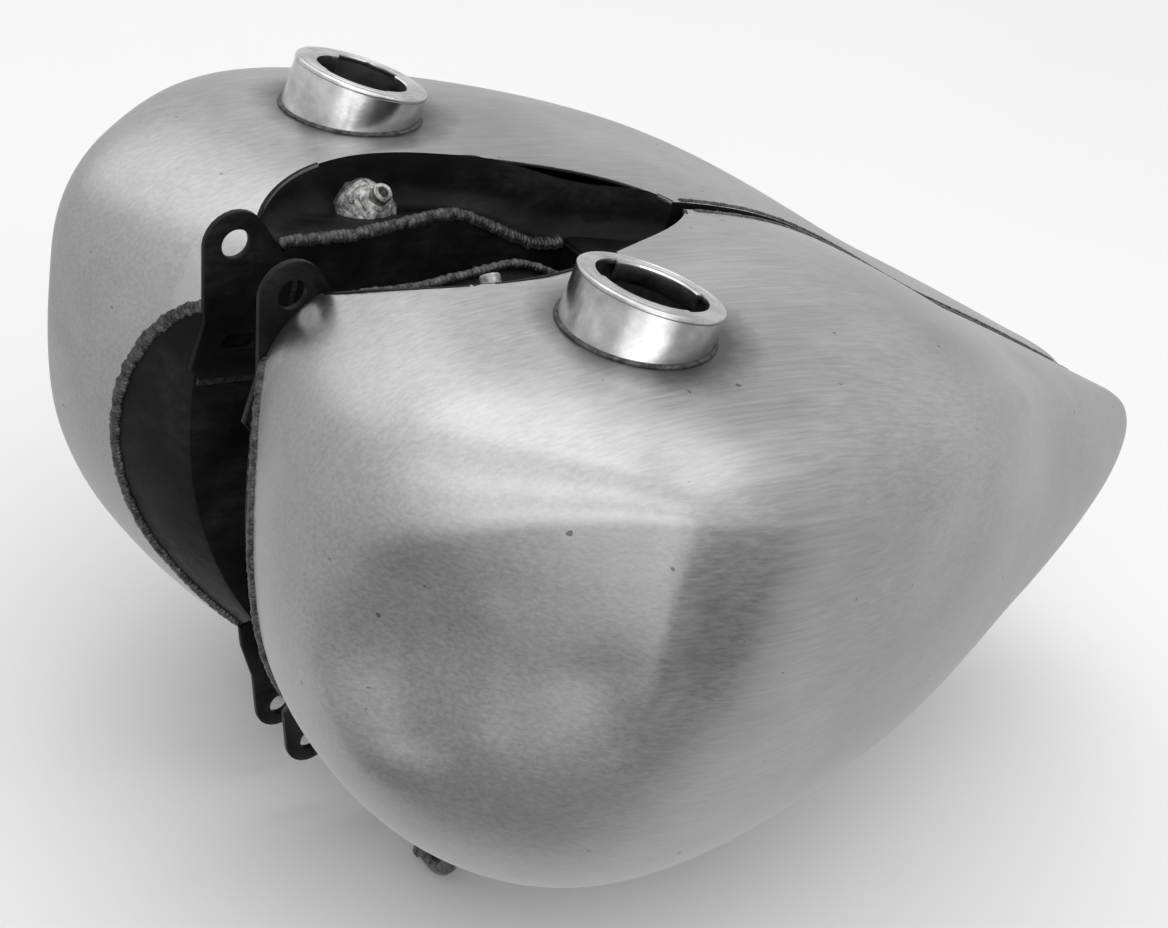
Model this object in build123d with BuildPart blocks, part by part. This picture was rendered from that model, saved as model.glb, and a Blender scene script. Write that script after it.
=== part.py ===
"""Split motorcycle fuel tank: two mirrored welded steel halves that straddle a frame tube.

Frame: +X forwards, +Y to the rider's left, +Z up, millimetres. The origin is on the axis
of the upper front mounting bolt, midway between the two halves.
"""

import math
import os

from build123d import *

# Overall sizes of one half.
TANK_LENGTH = 586.0        # nose to tail
HALF_WIDTH = 217.0         # centre plane to the outermost point of the side
TANK_DEPTH = 280.0         # crown to keel, measured on the shape below
NOSE_X = 33.0              # how far the nose stands ahead of the upper bolt
CROWN_Z = 21.0             # height of the crown above the upper bolt
SHEET = 1.5                # steel sheet thickness

# Shape of the half, at stations spaced evenly from nose (0) to tail (1) on a cosine scale.
# Widths are shares of HALF_WIDTH, heights are shares of TANK_DEPTH below the crown.
OUTER_SHARES = [0.0, 0.28, 0.57, 0.535, 0.32, 0.157, 0.0]
INNER_SHARES = [0.0, 0.48, 0.83, 0.76, 0.585, 0.294, 0.0]
CROWN_SHARES = [0.23, 0.055, 0.0, 0.03, 0.238, 0.392, 0.468]
KEEL_SHARES = [0.285, 0.71, 0.98, 0.975, 0.815, 0.612, 0.496]
SHOULDER_SHARES = [0.59, 0.87, 0.76, 0.53, 0.495]   # height of the widest line, keel to crown
MIDDLE_AT_NOSE = 0.515     # the middle line of the section, as a share of HALF_WIDTH
MIDDLE_AT_TAIL = 0.133
ROUNDNESS = 2.35           # exponent of the section's outline: 2 is an ellipse
LOFT_STEPS = [0.02, 0.06, 0.11, 0.17, 0.25, 0.33, 0.42, 0.5, 0.58, 0.67, 0.75, 0.83, 0.9, 0.95, 0.98]
SECTION_POINTS = 32
EVEN_STEPS = [k / SECTION_POINTS for k in range(SECTION_POINTS + 1)]
ARC_STEPS = 12             # points on small arcs drawn as outlines

# Gap between the halves.
TUNNEL_HALF_WIDTH = 25.0   # centre plane to the inner panel
SEAM_HALF_GAP = 4.0        # centre plane to the skins where they meet behind the recess
ROOF_DROP = 26.0           # crown to the tunnel's roof behind the recess
ROOF_FRONT_X = -172.0      # where the roof starts
ROOF_POINTS = 9
CLEAR = 60.0               # how far cutting solids run past the tank
WIDE = 4 * TANK_LENGTH     # side of cutting solids that have no edge near the tank

# Flared front lip of the inner panel: the weld follows an ellipse seen from the front.
LIP_HALF_WIDTH = 64.0
LIP_HALF_HEIGHT = 104.0
LIP_CENTRE_Z = -124.0
LIP_REACH = 150.0          # how far behind the nose the lip may go

# Dash recess in the top, seen from above.
RECESS_LENGTH = 212.0
RECESS_FRONT_X = -2.0
RECESS_HALF_WIDTH = 63.0
RECESS_FLOOR_Z = -4.0
RECESS_FLOOR_RADIUS = 11.0
RECESS_CORNER_STEPS = 4    # flats in the rounded edge of the floor
RECESS_SIDE = [(0.10, 0.66), (0.36, 1.0), (0.72, 0.68), (0.95, 0.24)]   # length, half-width

# Weld beads.
BEAD_WIDTH = 5.0
BEAD_HEIGHT = 2.2
BRAZE_WIDTH = 1.4          # fillet of braze round the filler neck
SEAM_BEAD_LEAD = -4.0      # bead starts this far ahead of the recess end
SEAM_BEAD_END_X = -530.0

# Filler neck and its cam ring.
NECK_X = -106.0
NECK_Y = 111.0
NECK_RISE = 17.0           # rim above the crown
NECK_LEAN = 9.0            # degrees, towards the rear
NECK_RADIUS = 31.0
NECK_BASE_RADIUS = 32.2
NECK_BORE = 26.0
NECK_LENGTH = 34.0
RING_PLATE = 2.4
RING_OPENING = 21.3
RING_LIP_DEPTH = 6.0
CAM_CUT_RADIUS = 23.8
CAM_CUT_ANGLE = 78.0
CAM_CUT_TURN = 50.0        # degrees from straight ahead to the middle of a cut

# Upper front ears.
PLATE = 3.0
EAR_HOLE_RADIUS = 6.5
EAR_HEAD_RADIUS = 14.5
EAR_FOOT_Z = -62.0
EAR_FRONT_X = 12.0
EAR_REAR_X = -30.0
EAR_SHOULDER_Z = -14.0
EAR_WAIST_X = 9.0          # the front edge narrows between the hole and the foot
EAR_WAIST_Z = -36.0
EAR_CORNER = 5.0
EAR_ARC = 160.0            # degrees of the round head
EAR_HEAD_TURN = 65.0       # degrees from straight ahead to the middle of the head
EAR_WELD_WIDTH = 3.0
EAR_SLOT = (-9.0, -45.0)
EAR_SLOT_LENGTH = 16.0
EAR_SLOT_WIDTH = 7.0

# Lower front tabs, joggled towards the centre plane.
TAB_HOLE = (-57.5, -236.0)
TAB_HOLE_RADIUS = 5.0
TAB_END_RADIUS = 12.0
TAB_ROOT = (-46.0, -192.0)
TAB_STEP = 9.0
TAB_BEND_Z = -206.0
TAB_STEP_HEIGHT = 12.0

# Rear mounting brackets.
REAR_HOLE = (-492.0, -178.0)   # below the belly, so that the bolt passes under the half
REAR_HOLE_RADIUS = 4.5
REAR_END_RADIUS = 13.0
REAR_ROOT = (-470.0, -112.0)
REAR_ROOT_HALF_WIDTH = 17.0

# Vent bung in the recess, its nipple and the blob of weld round it.
VENT_X = -81.0
VENT_Y = 50.0
VENT_Z = 1.0
VENT_TILT = 50.0           # degrees above level, facing the centre plane
VENT_BODY_RADIUS = 8.0
VENT_BODY_RISE = 6.0
VENT_NIPPLE_RISE = 7.0
VENT_SINK = 9.0
VENT_NIPPLE_RADIUS = 4.5
VENT_BORE = 2.4
VENT_WELD_RADIUS = 15.0
VENT_WELD_DEPTH = 7.0      # centre of the blob below the seat

# Balance spigot low on the inner panel.
SPIGOT_X = -41.0
SPIGOT_Z = -178.0
SPIGOT_RADIUS = 5.0
SPIGOT_BORE = 3.0
SPIGOT_ROOT_RADIUS = 4.2   # neck of the spigot through the panel, behind its shoulder
SPIGOT_REACH = 11.0

# Crossover elbow under the belly.
ELBOW_X = -95.0
ELBOW_Y = 88.0
ELBOW_DROP = 24.0          # tube centre line below the keel
ELBOW_RADIUS = 4.0
ELBOW_BORE = 3.0
ELBOW_BEND = 10.0
ELBOW_RUN = 22.0
ELBOW_BEAD = 0.9
ELBOW_BEAD_WIDTH = 2.0

# Fuel tap bung under the belly.
TAP_X = -215.0
TAP_Y = 92.0
TAP_RADIUS = 15.0
TAP_BORE = 11.0
TAP_DROP = 6.0             # face of the bung below the keel


def along(values, s):
    """Smooth curve through evenly spaced values, read at the share s of the way."""
    spans = len(values) - 1
    place = min(max(s, 0.0), 1.0) * spans
    k = min(int(place), spans - 1)
    u = place - k
    before = values[k - 1] if k > 0 else 2 * values[0] - values[1]
    after = values[k + 2] if k < spans - 1 else 2 * values[-1] - values[-2]
    start, end = values[k], values[k + 1]
    leave = (end - before) / 2
    arrive = (after - start) / 2
    bend = 2 * start - 2 * end + leave + arrive
    lift = -3 * start + 3 * end - 2 * leave - arrive
    return start + leave * u + lift * u**2 + bend * u**3


def share_at(x):
    """The cosine-scale share from nose to tail at the height line x."""
    along_length = min(max((NOSE_X - x) / TANK_LENGTH, 0.0), 1.0)
    return math.acos(1 - 2 * along_length) / math.pi


def section_sizes(s, inset=0.0):
    """Middle line, widest height, outer and inner half-widths, crown and keel at s."""
    length_share = (1 - math.cos(math.pi * s)) / 2
    middle = HALF_WIDTH * (MIDDLE_AT_NOSE + (MIDDLE_AT_TAIL - MIDDLE_AT_NOSE) * length_share)
    crown = CROWN_Z - TANK_DEPTH * along(CROWN_SHARES, s) - inset
    keel = CROWN_Z - TANK_DEPTH * along(KEEL_SHARES, s) + inset
    shoulder = keel + (crown - keel) * along(SHOULDER_SHARES, s)
    outer = HALF_WIDTH * along(OUTER_SHARES, s) - inset
    inner = HALF_WIDTH * along(INNER_SHARES, s) - inset
    return middle, shoulder, outer, inner, crown, keel


def section_points(s, inset=0.0):
    """Points round the closed section at s, as a superellipse with four unequal quarters."""
    middle, shoulder, outer, inner, crown, keel = section_sizes(s, inset)
    points = []
    for k in range(SECTION_POINTS):
        angle = 2 * math.pi * k / SECTION_POINTS
        across = math.copysign(abs(math.cos(angle)) ** (2 / ROUNDNESS), math.cos(angle))
        up = math.copysign(abs(math.sin(angle)) ** (2 / ROUNDNESS), math.sin(angle))
        y = middle + across * (outer if across > 0 else inner)
        z = shoulder + up * (crown - shoulder if up > 0 else shoulder - keel)
        points.append(Vector(y, z, 0))
    return points


def crown_height(x, y):
    """Height of the top of the outer surface at x, y."""
    middle, shoulder, outer, inner, crown, _ = section_sizes(share_at(x))
    reach = abs(y - middle) / (outer if y > middle else inner)
    return shoulder + (crown - shoulder) * (1 - min(reach, 1.0) ** ROUNDNESS) ** (1 / ROUNDNESS)


def keel_height(x, y):
    """Height of the underside of the outer surface at x, y."""
    middle, shoulder, outer, inner, _, keel = section_sizes(share_at(x))
    reach = abs(y - middle) / (outer if y > middle else inner)
    return shoulder - (shoulder - keel) * (1 - min(reach, 1.0) ** ROUNDNESS) ** (1 / ROUNDNESS)


def full_body(inset):
    """The rounded body of one half before it is cut by the tunnel, moved in by inset."""
    with BuildPart() as body:
        for s in LOFT_STEPS:
            length_share = (1 - math.cos(math.pi * s)) / 2
            x = NOSE_X - inset - (TANK_LENGTH - 2 * inset) * length_share
            with BuildSketch(Plane((x, 0, 0), x_dir=(0, 1, 0), z_dir=(1, 0, 0))):
                with BuildLine():
                    add(Edge.make_spline(section_points(s, inset), periodic=True, parameters=EVEN_STEPS))
                make_face()
        loft()
    return body.part


def tunnel(grow):
    """The space inside the panels: open upwards at the recess, roofed behind it."""
    tail = NOSE_X - TANK_LENGTH - CLEAR
    ahead = NOSE_X + CLEAR
    front = ROOF_FRONT_X - grow
    top = CROWN_Z + CLEAR
    floor = CROWN_Z - TANK_DEPTH - CLEAR
    roof = []
    for k in range(ROOF_POINTS):
        x = front + (tail - front) * k / (ROOF_POINTS - 1)
        crown = CROWN_Z - TANK_DEPTH * along(CROWN_SHARES, share_at(x))
        roof.append((x, crown - ROOF_DROP + grow))
    with BuildPart() as space:
        with BuildSketch(Plane.XZ.offset(-TUNNEL_HALF_WIDTH - grow)):
            with BuildLine():
                Spline(*roof)
                Polyline(roof[-1], (tail, floor), (ahead, floor), (ahead, top), (front, top), roof[0])
            make_face()
        extrude(amount=TUNNEL_HALF_WIDTH + HALF_WIDTH)
    return space.part


def recess_outline(inset):
    """Closed outline of the recess seen from above, moved in by inset."""
    front = RECESS_FRONT_X - inset
    length = RECESS_LENGTH - 2 * inset
    half = RECESS_HALF_WIDTH - inset
    side = [(front - t * length, share * half) for t, share in RECESS_SIDE]
    mirrored = [(x, -y) for x, y in reversed(side)]
    return [(front, 0), *side, (front - length, 0), *mirrored]


def recess(grow):
    """The hollow for the dash, grown by a sheet thickness for the pan's outer side."""
    radius = RECESS_FLOOR_RADIUS + grow
    floor = RECESS_FLOOR_Z - grow
    levels = [(floor, radius)]
    for k in range(1, RECESS_CORNER_STEPS + 1):
        angle = math.pi / 2 * k / RECESS_CORNER_STEPS
        levels.append((floor + radius * (1 - math.cos(angle)), radius * (1 - math.sin(angle))))
    levels.append((CROWN_Z + CLEAR, 0.0))
    with BuildPart() as hollow:
        for height, inset in levels:
            with BuildSketch(Plane.XY.offset(height)):
                with BuildLine():
                    Spline(*recess_outline(inset - grow), periodic=True)
                make_face()
        loft(ruled=True)
    return hollow.part


def lip_tool(grow):
    """Cylinder with an elliptic section along X that marks out the flared front lip."""
    with BuildPart() as tool:
        with BuildSketch(Plane((NOSE_X - LIP_REACH, 0, LIP_CENTRE_Z), x_dir=(0, 1, 0), z_dir=(1, 0, 0))):
            Ellipse(LIP_HALF_WIDTH + grow, LIP_HALF_HEIGHT + grow)
        extrude(amount=LIP_REACH + CLEAR)
    return tool.part


def centre_block(half_gap):
    """Everything closer to the centre plane than half_gap, and beyond it."""
    with BuildPart() as block:
        with BuildSketch(Plane.XZ.offset(-half_gap)):
            Rectangle(WIDE, WIDE)
        extrude(amount=2 * HALF_WIDTH)
    return block.part


def neck_blank(grow):
    """The outside of the neck as a solid, for the neck, its hole in the skin and its braze."""
    with BuildPart() as blank:
        with BuildSketch(NECK_RIM.offset(-NECK_LENGTH)):
            Circle(NECK_BASE_RADIUS + grow)
        with BuildSketch(NECK_RIM.offset(-RING_PLATE)):
            Circle(NECK_RADIUS + grow)
        loft()
    return blank.part


def arc_points(radius, middle_turn, sweep_angle):
    """Points on an arc about the origin, turning anticlockwise, in degrees."""
    points = []
    for k in range(ARC_STEPS + 1):
        turn = math.radians(middle_turn + sweep_angle * (k / ARC_STEPS - 0.5))
        points.append((radius * math.cos(turn), radius * math.sin(turn)))
    return points


def flat_plate(outline, hole, hole_radius, y_inner, thickness):
    """A plate parallel to the centre plane, from an XZ outline of points, with one round hole."""
    with BuildPart() as plate:
        with BuildSketch(Plane.XZ.offset(-y_inner)):
            with BuildLine():
                Polyline(*outline, close=True)
            make_face()
            with Locations(hole):
                Circle(hole_radius, mode=Mode.SUBTRACT)
        extrude(amount=-thickness)
    return plate.part


def tangent_tab(root, hole, end_radius, root_half_width):
    """Outline of a tab: straight root, tapering to a round end about the hole."""
    run = math.atan2(hole[1] - root[1], hole[0] - root[0])
    side = (-math.sin(run), math.cos(run))
    points = [(root[0] + side[0] * root_half_width, root[1] + side[1] * root_half_width)]
    for k in range(ARC_STEPS + 1):
        turn = run + math.pi / 2 - math.pi * k / ARC_STEPS
        points.append((hole[0] + end_radius * math.cos(turn), hole[1] + end_radius * math.sin(turn)))
    points.append((root[0] - side[0] * root_half_width, root[1] - side[1] * root_half_width))
    return points


NECK_TILT = math.radians(NECK_LEAN)
NECK_RIM = Plane(
    (NECK_X, NECK_Y, CROWN_Z + NECK_RISE),
    x_dir=(math.cos(NECK_TILT), 0, math.sin(NECK_TILT)),
    z_dir=(-math.sin(NECK_TILT), 0, math.cos(NECK_TILT)),
)
VENT_ANGLE = math.radians(VENT_TILT)
VENT_SEAT = Plane(
    (VENT_X, VENT_Y, VENT_Z),
    x_dir=(1, 0, 0),
    z_dir=(0, -math.cos(VENT_ANGLE), math.sin(VENT_ANGLE)),
)
PANEL_FACE = Plane.XZ.offset(-TUNNEL_HALF_WIDTH)
RECESS_END_X = RECESS_FRONT_X - RECESS_LENGTH
SEAM_BEAD_REGION = [
    (RECESS_END_X + SEAM_BEAD_LEAD, CROWN_Z + CLEAR),
    (SEAM_BEAD_END_X, CROWN_Z + CLEAR),
    (SEAM_BEAD_END_X, CROWN_Z - TANK_DEPTH / 2),
    (RECESS_END_X + SEAM_BEAD_LEAD, RECESS_FLOOR_Z - ROOF_DROP),
]

outer_body = full_body(0.0)
inner_body = full_body(SHEET)
bead_body = full_body(-BEAD_HEIGHT)
shell = outer_body - inner_body
bead_shell = bead_body - outer_body
tunnel_space = tunnel(0.0)
tunnel_wall = tunnel(SHEET)
recess_hollow = recess(0.0)
recess_outside = recess(SHEET)
recess_bead_outside = recess(SHEET + BEAD_HEIGHT / 2)
recess_bead_inside = recess(-BEAD_HEIGHT / 2)
lip_cylinder = lip_tool(0.0)
lip_bead_outside = lip_tool(BEAD_WIDTH / 2)
lip_bead_inside = lip_tool(-BEAD_WIDTH / 2)
inside_seam = centre_block(SEAM_HALF_GAP)
inside_seam_sheet = centre_block(SEAM_HALF_GAP + SHEET)
inside_seam_bead = centre_block(SEAM_HALF_GAP + BEAD_WIDTH)
inside_panel_face = centre_block(TUNNEL_HALF_WIDTH)
inside_recess_bead = centre_block(TUNNEL_HALF_WIDTH - BEAD_HEIGHT)
neck_solid = neck_blank(0.0)
neck_braze_solid = neck_blank(BRAZE_WIDTH)
halves = {}


# Outer skin: the drawn shell, without the inner side, the recess and the holes.
with BuildPart() as skin:
    add(shell)
    add(inside_seam_sheet, mode=Mode.SUBTRACT)
    add(tunnel_wall, mode=Mode.SUBTRACT)
    add(recess_outside, mode=Mode.SUBTRACT)
    add(lip_cylinder, mode=Mode.SUBTRACT)
    add(neck_solid, mode=Mode.SUBTRACT)
    with BuildSketch(Plane.XY.offset(CROWN_Z - TANK_DEPTH - CLEAR)):
        with Locations((ELBOW_X, ELBOW_Y)):
            Circle(ELBOW_RADIUS)
        with Locations((TAP_X, TAP_Y)):
            Circle(TAP_RADIUS)
    extrude(amount=TANK_DEPTH / 2 + CLEAR, mode=Mode.SUBTRACT)
halves["skin"] = skin

# Inner panel: flat side of the tunnel, its roof and end wall, and the flared front lip.
with BuildPart() as flared_lip:
    add(shell)
    add(lip_cylinder, mode=Mode.INTERSECT)
    add(inside_panel_face, mode=Mode.SUBTRACT)
with BuildPart() as inner_panel:
    add(tunnel_wall)
    add(inside_seam_sheet)
    add(outer_body, mode=Mode.INTERSECT)
    add(tunnel_space, mode=Mode.SUBTRACT)
    add(inside_seam, mode=Mode.SUBTRACT)
    add(recess_outside, mode=Mode.SUBTRACT)
    add(flared_lip.part)
    with BuildSketch(PANEL_FACE):
        with Locations((SPIGOT_X, SPIGOT_Z)):
            Circle(SPIGOT_ROOT_RADIUS)
    extrude(amount=2 * SHEET, both=True, mode=Mode.SUBTRACT)
halves["inner_panel"] = inner_panel

# Pan of the dash recess, with the hole for the vent bung.
with BuildPart() as recess_pan:
    add(outer_body)
    add(recess_outside, mode=Mode.INTERSECT)
    add(recess_hollow, mode=Mode.SUBTRACT)
    add(tunnel_space, mode=Mode.SUBTRACT)
    add(inside_seam, mode=Mode.SUBTRACT)
    with BuildSketch(VENT_SEAT):
        Circle(VENT_BODY_RADIUS)
    extrude(amount=2 * VENT_SINK, both=True, mode=Mode.SUBTRACT)
halves["recess_pan"] = recess_pan

# Filler neck: a slightly flared tube through the skin.
with BuildPart() as filler_neck:
    add(neck_solid)
    with BuildSketch(NECK_RIM):
        Circle(NECK_BORE)
    extrude(amount=-2 * NECK_LENGTH, mode=Mode.SUBTRACT)
halves["filler_neck"] = filler_neck

# Braze round the foot of the neck.
with BuildPart() as neck_braze:
    add(bead_shell)
    add(neck_braze_solid, mode=Mode.INTERSECT)
    add(neck_solid, mode=Mode.SUBTRACT)
halves["neck_braze"] = neck_braze

# Cam ring: flat top with a rolled edge, a down-turned lip and two wide cam cut-outs.
with BuildPart() as cam_ring:
    with BuildSketch(NECK_RIM.offset(-RING_PLATE)):
        Circle(NECK_RADIUS)
    extrude(amount=RING_PLATE)
    fillet(cam_ring.edges().sort_by_distance(NECK_RIM.origin)[-1:], RING_PLATE / 4)
    with BuildSketch(NECK_RIM.offset(-RING_PLATE - RING_LIP_DEPTH)):
        Circle(RING_OPENING + SHEET)
    extrude(amount=RING_LIP_DEPTH)
    with BuildSketch(NECK_RIM):
        Circle(RING_OPENING)
        for middle_turn in (CAM_CUT_TURN, CAM_CUT_TURN + 180):
            with BuildLine():
                Polyline((0, 0), *arc_points(CAM_CUT_RADIUS, middle_turn, CAM_CUT_ANGLE), close=True)
            make_face()
    extrude(amount=-2 * NECK_LENGTH, mode=Mode.SUBTRACT)
halves["cam_ring"] = cam_ring

# Upper front ear: flat plate on the panel, with the bolt hole and a slot below it.
EAR_OUTLINE = [
    *arc_points(EAR_HEAD_RADIUS, EAR_HEAD_TURN, EAR_ARC),
    (EAR_REAR_X, EAR_SHOULDER_Z),
    (EAR_REAR_X, EAR_FOOT_Z + EAR_CORNER),
    (EAR_REAR_X + EAR_CORNER, EAR_FOOT_Z),
    (EAR_FRONT_X - EAR_CORNER, EAR_FOOT_Z),
    (EAR_FRONT_X, EAR_FOOT_Z + EAR_CORNER),
    (EAR_WAIST_X, EAR_WAIST_Z),
]
with BuildPart() as front_ear:
    with BuildSketch(Plane.XZ.offset(PLATE - TUNNEL_HALF_WIDTH)):
        with BuildLine():
            Polyline(*EAR_OUTLINE, close=True)
        make_face()
        Circle(EAR_HOLE_RADIUS, mode=Mode.SUBTRACT)
        with Locations(EAR_SLOT):
            SlotOverall(EAR_SLOT_LENGTH, EAR_SLOT_WIDTH, mode=Mode.SUBTRACT)
    extrude(amount=-PLATE)
halves["front_ear"] = front_ear

# Weld down the rear edge and along the foot of the ear.
with BuildPart() as ear_weld:
    with BuildSketch(Plane.XZ.offset(-TUNNEL_HALF_WIDTH)):
        with BuildLine():
            Polyline(
                (EAR_REAR_X, EAR_SHOULDER_Z),
                (EAR_REAR_X, EAR_FOOT_Z + EAR_CORNER),
                (EAR_REAR_X + EAR_CORNER, EAR_FOOT_Z),
                (EAR_FRONT_X - EAR_CORNER, EAR_FOOT_Z),
                (EAR_FRONT_X - EAR_CORNER, EAR_FOOT_Z - EAR_WELD_WIDTH),
                (EAR_REAR_X, EAR_FOOT_Z - EAR_WELD_WIDTH),
                (EAR_REAR_X - EAR_WELD_WIDTH, EAR_FOOT_Z),
                (EAR_REAR_X - EAR_WELD_WIDTH, EAR_SHOULDER_Z),
                close=True,
            )
        make_face()
    extrude(amount=BEAD_HEIGHT)
halves["ear_weld"] = ear_weld

# Lower front tab: joggled inwards below the panel's edge.
TAB_OUTLINE = tangent_tab(TAB_ROOT, TAB_HOLE, TAB_END_RADIUS, TAB_END_RADIUS)
tab_blank = flat_plate(TAB_OUTLINE, TAB_HOLE, TAB_HOLE_RADIUS, 0, 2 * TUNNEL_HALF_WIDTH)
TAB_FACE = TUNNEL_HALF_WIDTH - PLATE
with BuildPart() as lower_tab:
    with BuildSketch(Plane.YZ.offset(NOSE_X - TANK_LENGTH / 2)):
        with BuildLine():
            Polyline(
                (TUNNEL_HALF_WIDTH, CROWN_Z),
                (TAB_FACE, CROWN_Z),
                (TAB_FACE, TAB_BEND_Z),
                (TAB_FACE - TAB_STEP, TAB_BEND_Z - TAB_STEP_HEIGHT),
                (TAB_FACE - TAB_STEP, -TANK_DEPTH),
                (TUNNEL_HALF_WIDTH - TAB_STEP, -TANK_DEPTH),
                (TUNNEL_HALF_WIDTH - TAB_STEP, TAB_BEND_Z - TAB_STEP_HEIGHT),
                (TUNNEL_HALF_WIDTH, TAB_BEND_Z),
                close=True,
            )
        make_face()
    extrude(amount=TANK_LENGTH / 2)
    add(tab_blank, mode=Mode.INTERSECT)
halves["lower_tab"] = lower_tab

# Rear mounting bracket near the tail.
REAR_OUTLINE = tangent_tab(REAR_ROOT, REAR_HOLE, REAR_END_RADIUS, REAR_ROOT_HALF_WIDTH)
rear_blank = flat_plate(REAR_OUTLINE, REAR_HOLE, REAR_HOLE_RADIUS, TUNNEL_HALF_WIDTH - PLATE, PLATE)
with BuildPart() as rear_bracket:
    add(rear_blank)
halves["rear_bracket"] = rear_bracket

# Vent bung on the recess pan: stepped body with a drilled nipple.
with BuildPart() as vent_bung:
    with BuildSketch(VENT_SEAT.offset(-VENT_SINK)):
        Circle(VENT_BODY_RADIUS)
    extrude(amount=VENT_SINK + VENT_BODY_RISE)
    with BuildSketch(VENT_SEAT.offset(VENT_BODY_RISE)):
        Circle(VENT_NIPPLE_RADIUS)
    extrude(amount=VENT_NIPPLE_RISE)
    with BuildSketch(VENT_SEAT):
        Circle(VENT_BORE)
    extrude(amount=2 * VENT_SINK + VENT_NIPPLE_RISE, both=True, mode=Mode.SUBTRACT)
halves["vent_bung"] = vent_bung

# Blob of weld that fixes the vent bung to the pan.
with BuildPart() as vent_weld:
    with Locations(VENT_SEAT.offset(-VENT_WELD_DEPTH)):
        Sphere(VENT_WELD_RADIUS)
    add(recess_hollow, mode=Mode.INTERSECT)
    with BuildSketch(VENT_SEAT):
        Circle(VENT_BODY_RADIUS)
    extrude(amount=2 * VENT_SINK, both=True, mode=Mode.SUBTRACT)
halves["vent_weld"] = vent_weld

# Spigot low on the inner panel for the balance pipe.
with BuildPart() as balance_spigot:
    with BuildSketch(PANEL_FACE):
        with Locations((SPIGOT_X, SPIGOT_Z)):
            Circle(SPIGOT_RADIUS)
            Circle(SPIGOT_BORE, mode=Mode.SUBTRACT)
    extrude(amount=SPIGOT_REACH)
    with BuildSketch(PANEL_FACE):
        with Locations((SPIGOT_X, SPIGOT_Z)):
            Circle(SPIGOT_ROOT_RADIUS)
            Circle(SPIGOT_BORE, mode=Mode.SUBTRACT)
    extrude(amount=-2 * SHEET)
halves["balance_spigot"] = balance_spigot

# Crossover elbow under the belly, pointing at the other half.
ELBOW_TOP = keel_height(ELBOW_X, ELBOW_Y) + 2 * SHEET
ELBOW_LOW = keel_height(ELBOW_X, ELBOW_Y) - ELBOW_DROP
with BuildPart() as crossover_elbow:
    with BuildLine() as elbow_path:
        FilletPolyline(
            (ELBOW_X, ELBOW_Y, ELBOW_TOP),
            (ELBOW_X, ELBOW_Y, ELBOW_LOW),
            (ELBOW_X, ELBOW_Y - ELBOW_RUN, ELBOW_LOW),
            radius=ELBOW_BEND,
        )
    with BuildSketch(Plane.XY.offset(ELBOW_TOP)):
        with Locations((ELBOW_X, ELBOW_Y)):
            Circle(ELBOW_RADIUS)
            Circle(ELBOW_BORE, mode=Mode.SUBTRACT)
    sweep(path=elbow_path.line)
    with BuildSketch(Plane.XZ.offset(ELBOW_RUN - ELBOW_Y)):
        with Locations((ELBOW_X, ELBOW_LOW)):
            Circle(ELBOW_RADIUS + ELBOW_BEAD)
            Circle(ELBOW_BORE, mode=Mode.SUBTRACT)
    extrude(amount=-ELBOW_BEAD_WIDTH)
halves["crossover_elbow"] = crossover_elbow

# Bung for the fuel tap under the belly.
TAP_FACE = keel_height(TAP_X, TAP_Y) - TAP_DROP
with BuildPart() as fuel_tap_bung:
    with BuildSketch(Plane.XY.offset(TAP_FACE)):
        with Locations((TAP_X, TAP_Y)):
            Circle(TAP_RADIUS)
            Circle(TAP_BORE, mode=Mode.SUBTRACT)
    extrude(amount=2 * TAP_DROP)
halves["fuel_tap_bung"] = fuel_tap_bung

# Weld bead round the flared front lip.
with BuildPart() as lip_bead:
    add(bead_shell)
    add(lip_bead_outside, mode=Mode.INTERSECT)
    add(lip_bead_inside, mode=Mode.SUBTRACT)
    add(inside_panel_face, mode=Mode.SUBTRACT)
halves["lip_bead"] = lip_bead

# Weld bead where the pan meets the top of the inner panel.
with BuildPart() as recess_bead:
    add(recess_bead_outside)
    add(recess_bead_inside, mode=Mode.SUBTRACT)
    add(inside_recess_bead, mode=Mode.SUBTRACT)
    add(inside_panel_face, mode=Mode.INTERSECT)
    add(outer_body, mode=Mode.INTERSECT)
    with BuildSketch(Plane.YZ.offset(ROOF_FRONT_X)):
        Rectangle(WIDE, WIDE)
    extrude(amount=-TANK_LENGTH, mode=Mode.SUBTRACT)
    with BuildSketch(PANEL_FACE):
        with BuildLine():
            Polyline(*EAR_OUTLINE, close=True)
        make_face()
    extrude(amount=PLATE, mode=Mode.SUBTRACT)
halves["recess_bead"] = recess_bead

# Ripple of weld along the top seam behind the recess.
with BuildPart() as seam_bead:
    add(bead_shell)
    add(inside_seam_bead, mode=Mode.INTERSECT)
    add(inside_seam, mode=Mode.SUBTRACT)
    add(recess_bead_outside, mode=Mode.SUBTRACT)
    with BuildSketch(Plane.XZ):
        with BuildLine():
            Polyline(*SEAM_BEAD_REGION, close=True)
        make_face()
    extrude(amount=HALF_WIDTH, both=True, mode=Mode.INTERSECT)
halves["seam_bead"] = seam_bead

os.makedirs("parts", exist_ok=True)
for name, piece in halves.items():
    left_piece = piece.part
    right_piece = mirror(left_piece, about=Plane.XZ)
    left_piece.label = name + "_left"
    right_piece.label = name + "_right"
    export_step(left_piece, "parts/" + name + "_left.step")
    export_step(right_piece, "parts/" + name + "_right.step")
    print(name, round(left_piece.volume), len(left_piece.solids()), left_piece.bounding_box())
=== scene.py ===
"""Bare steel split fuel tank: two mirrored welded halves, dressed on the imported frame."""

import logging
import math
import random
from dataclasses import dataclass, field
from enum import Enum
from typing import Callable, Iterable, Sequence

import bmesh
import bpy
import numpy as np
from mathutils import Matrix, Vector, noise


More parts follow.
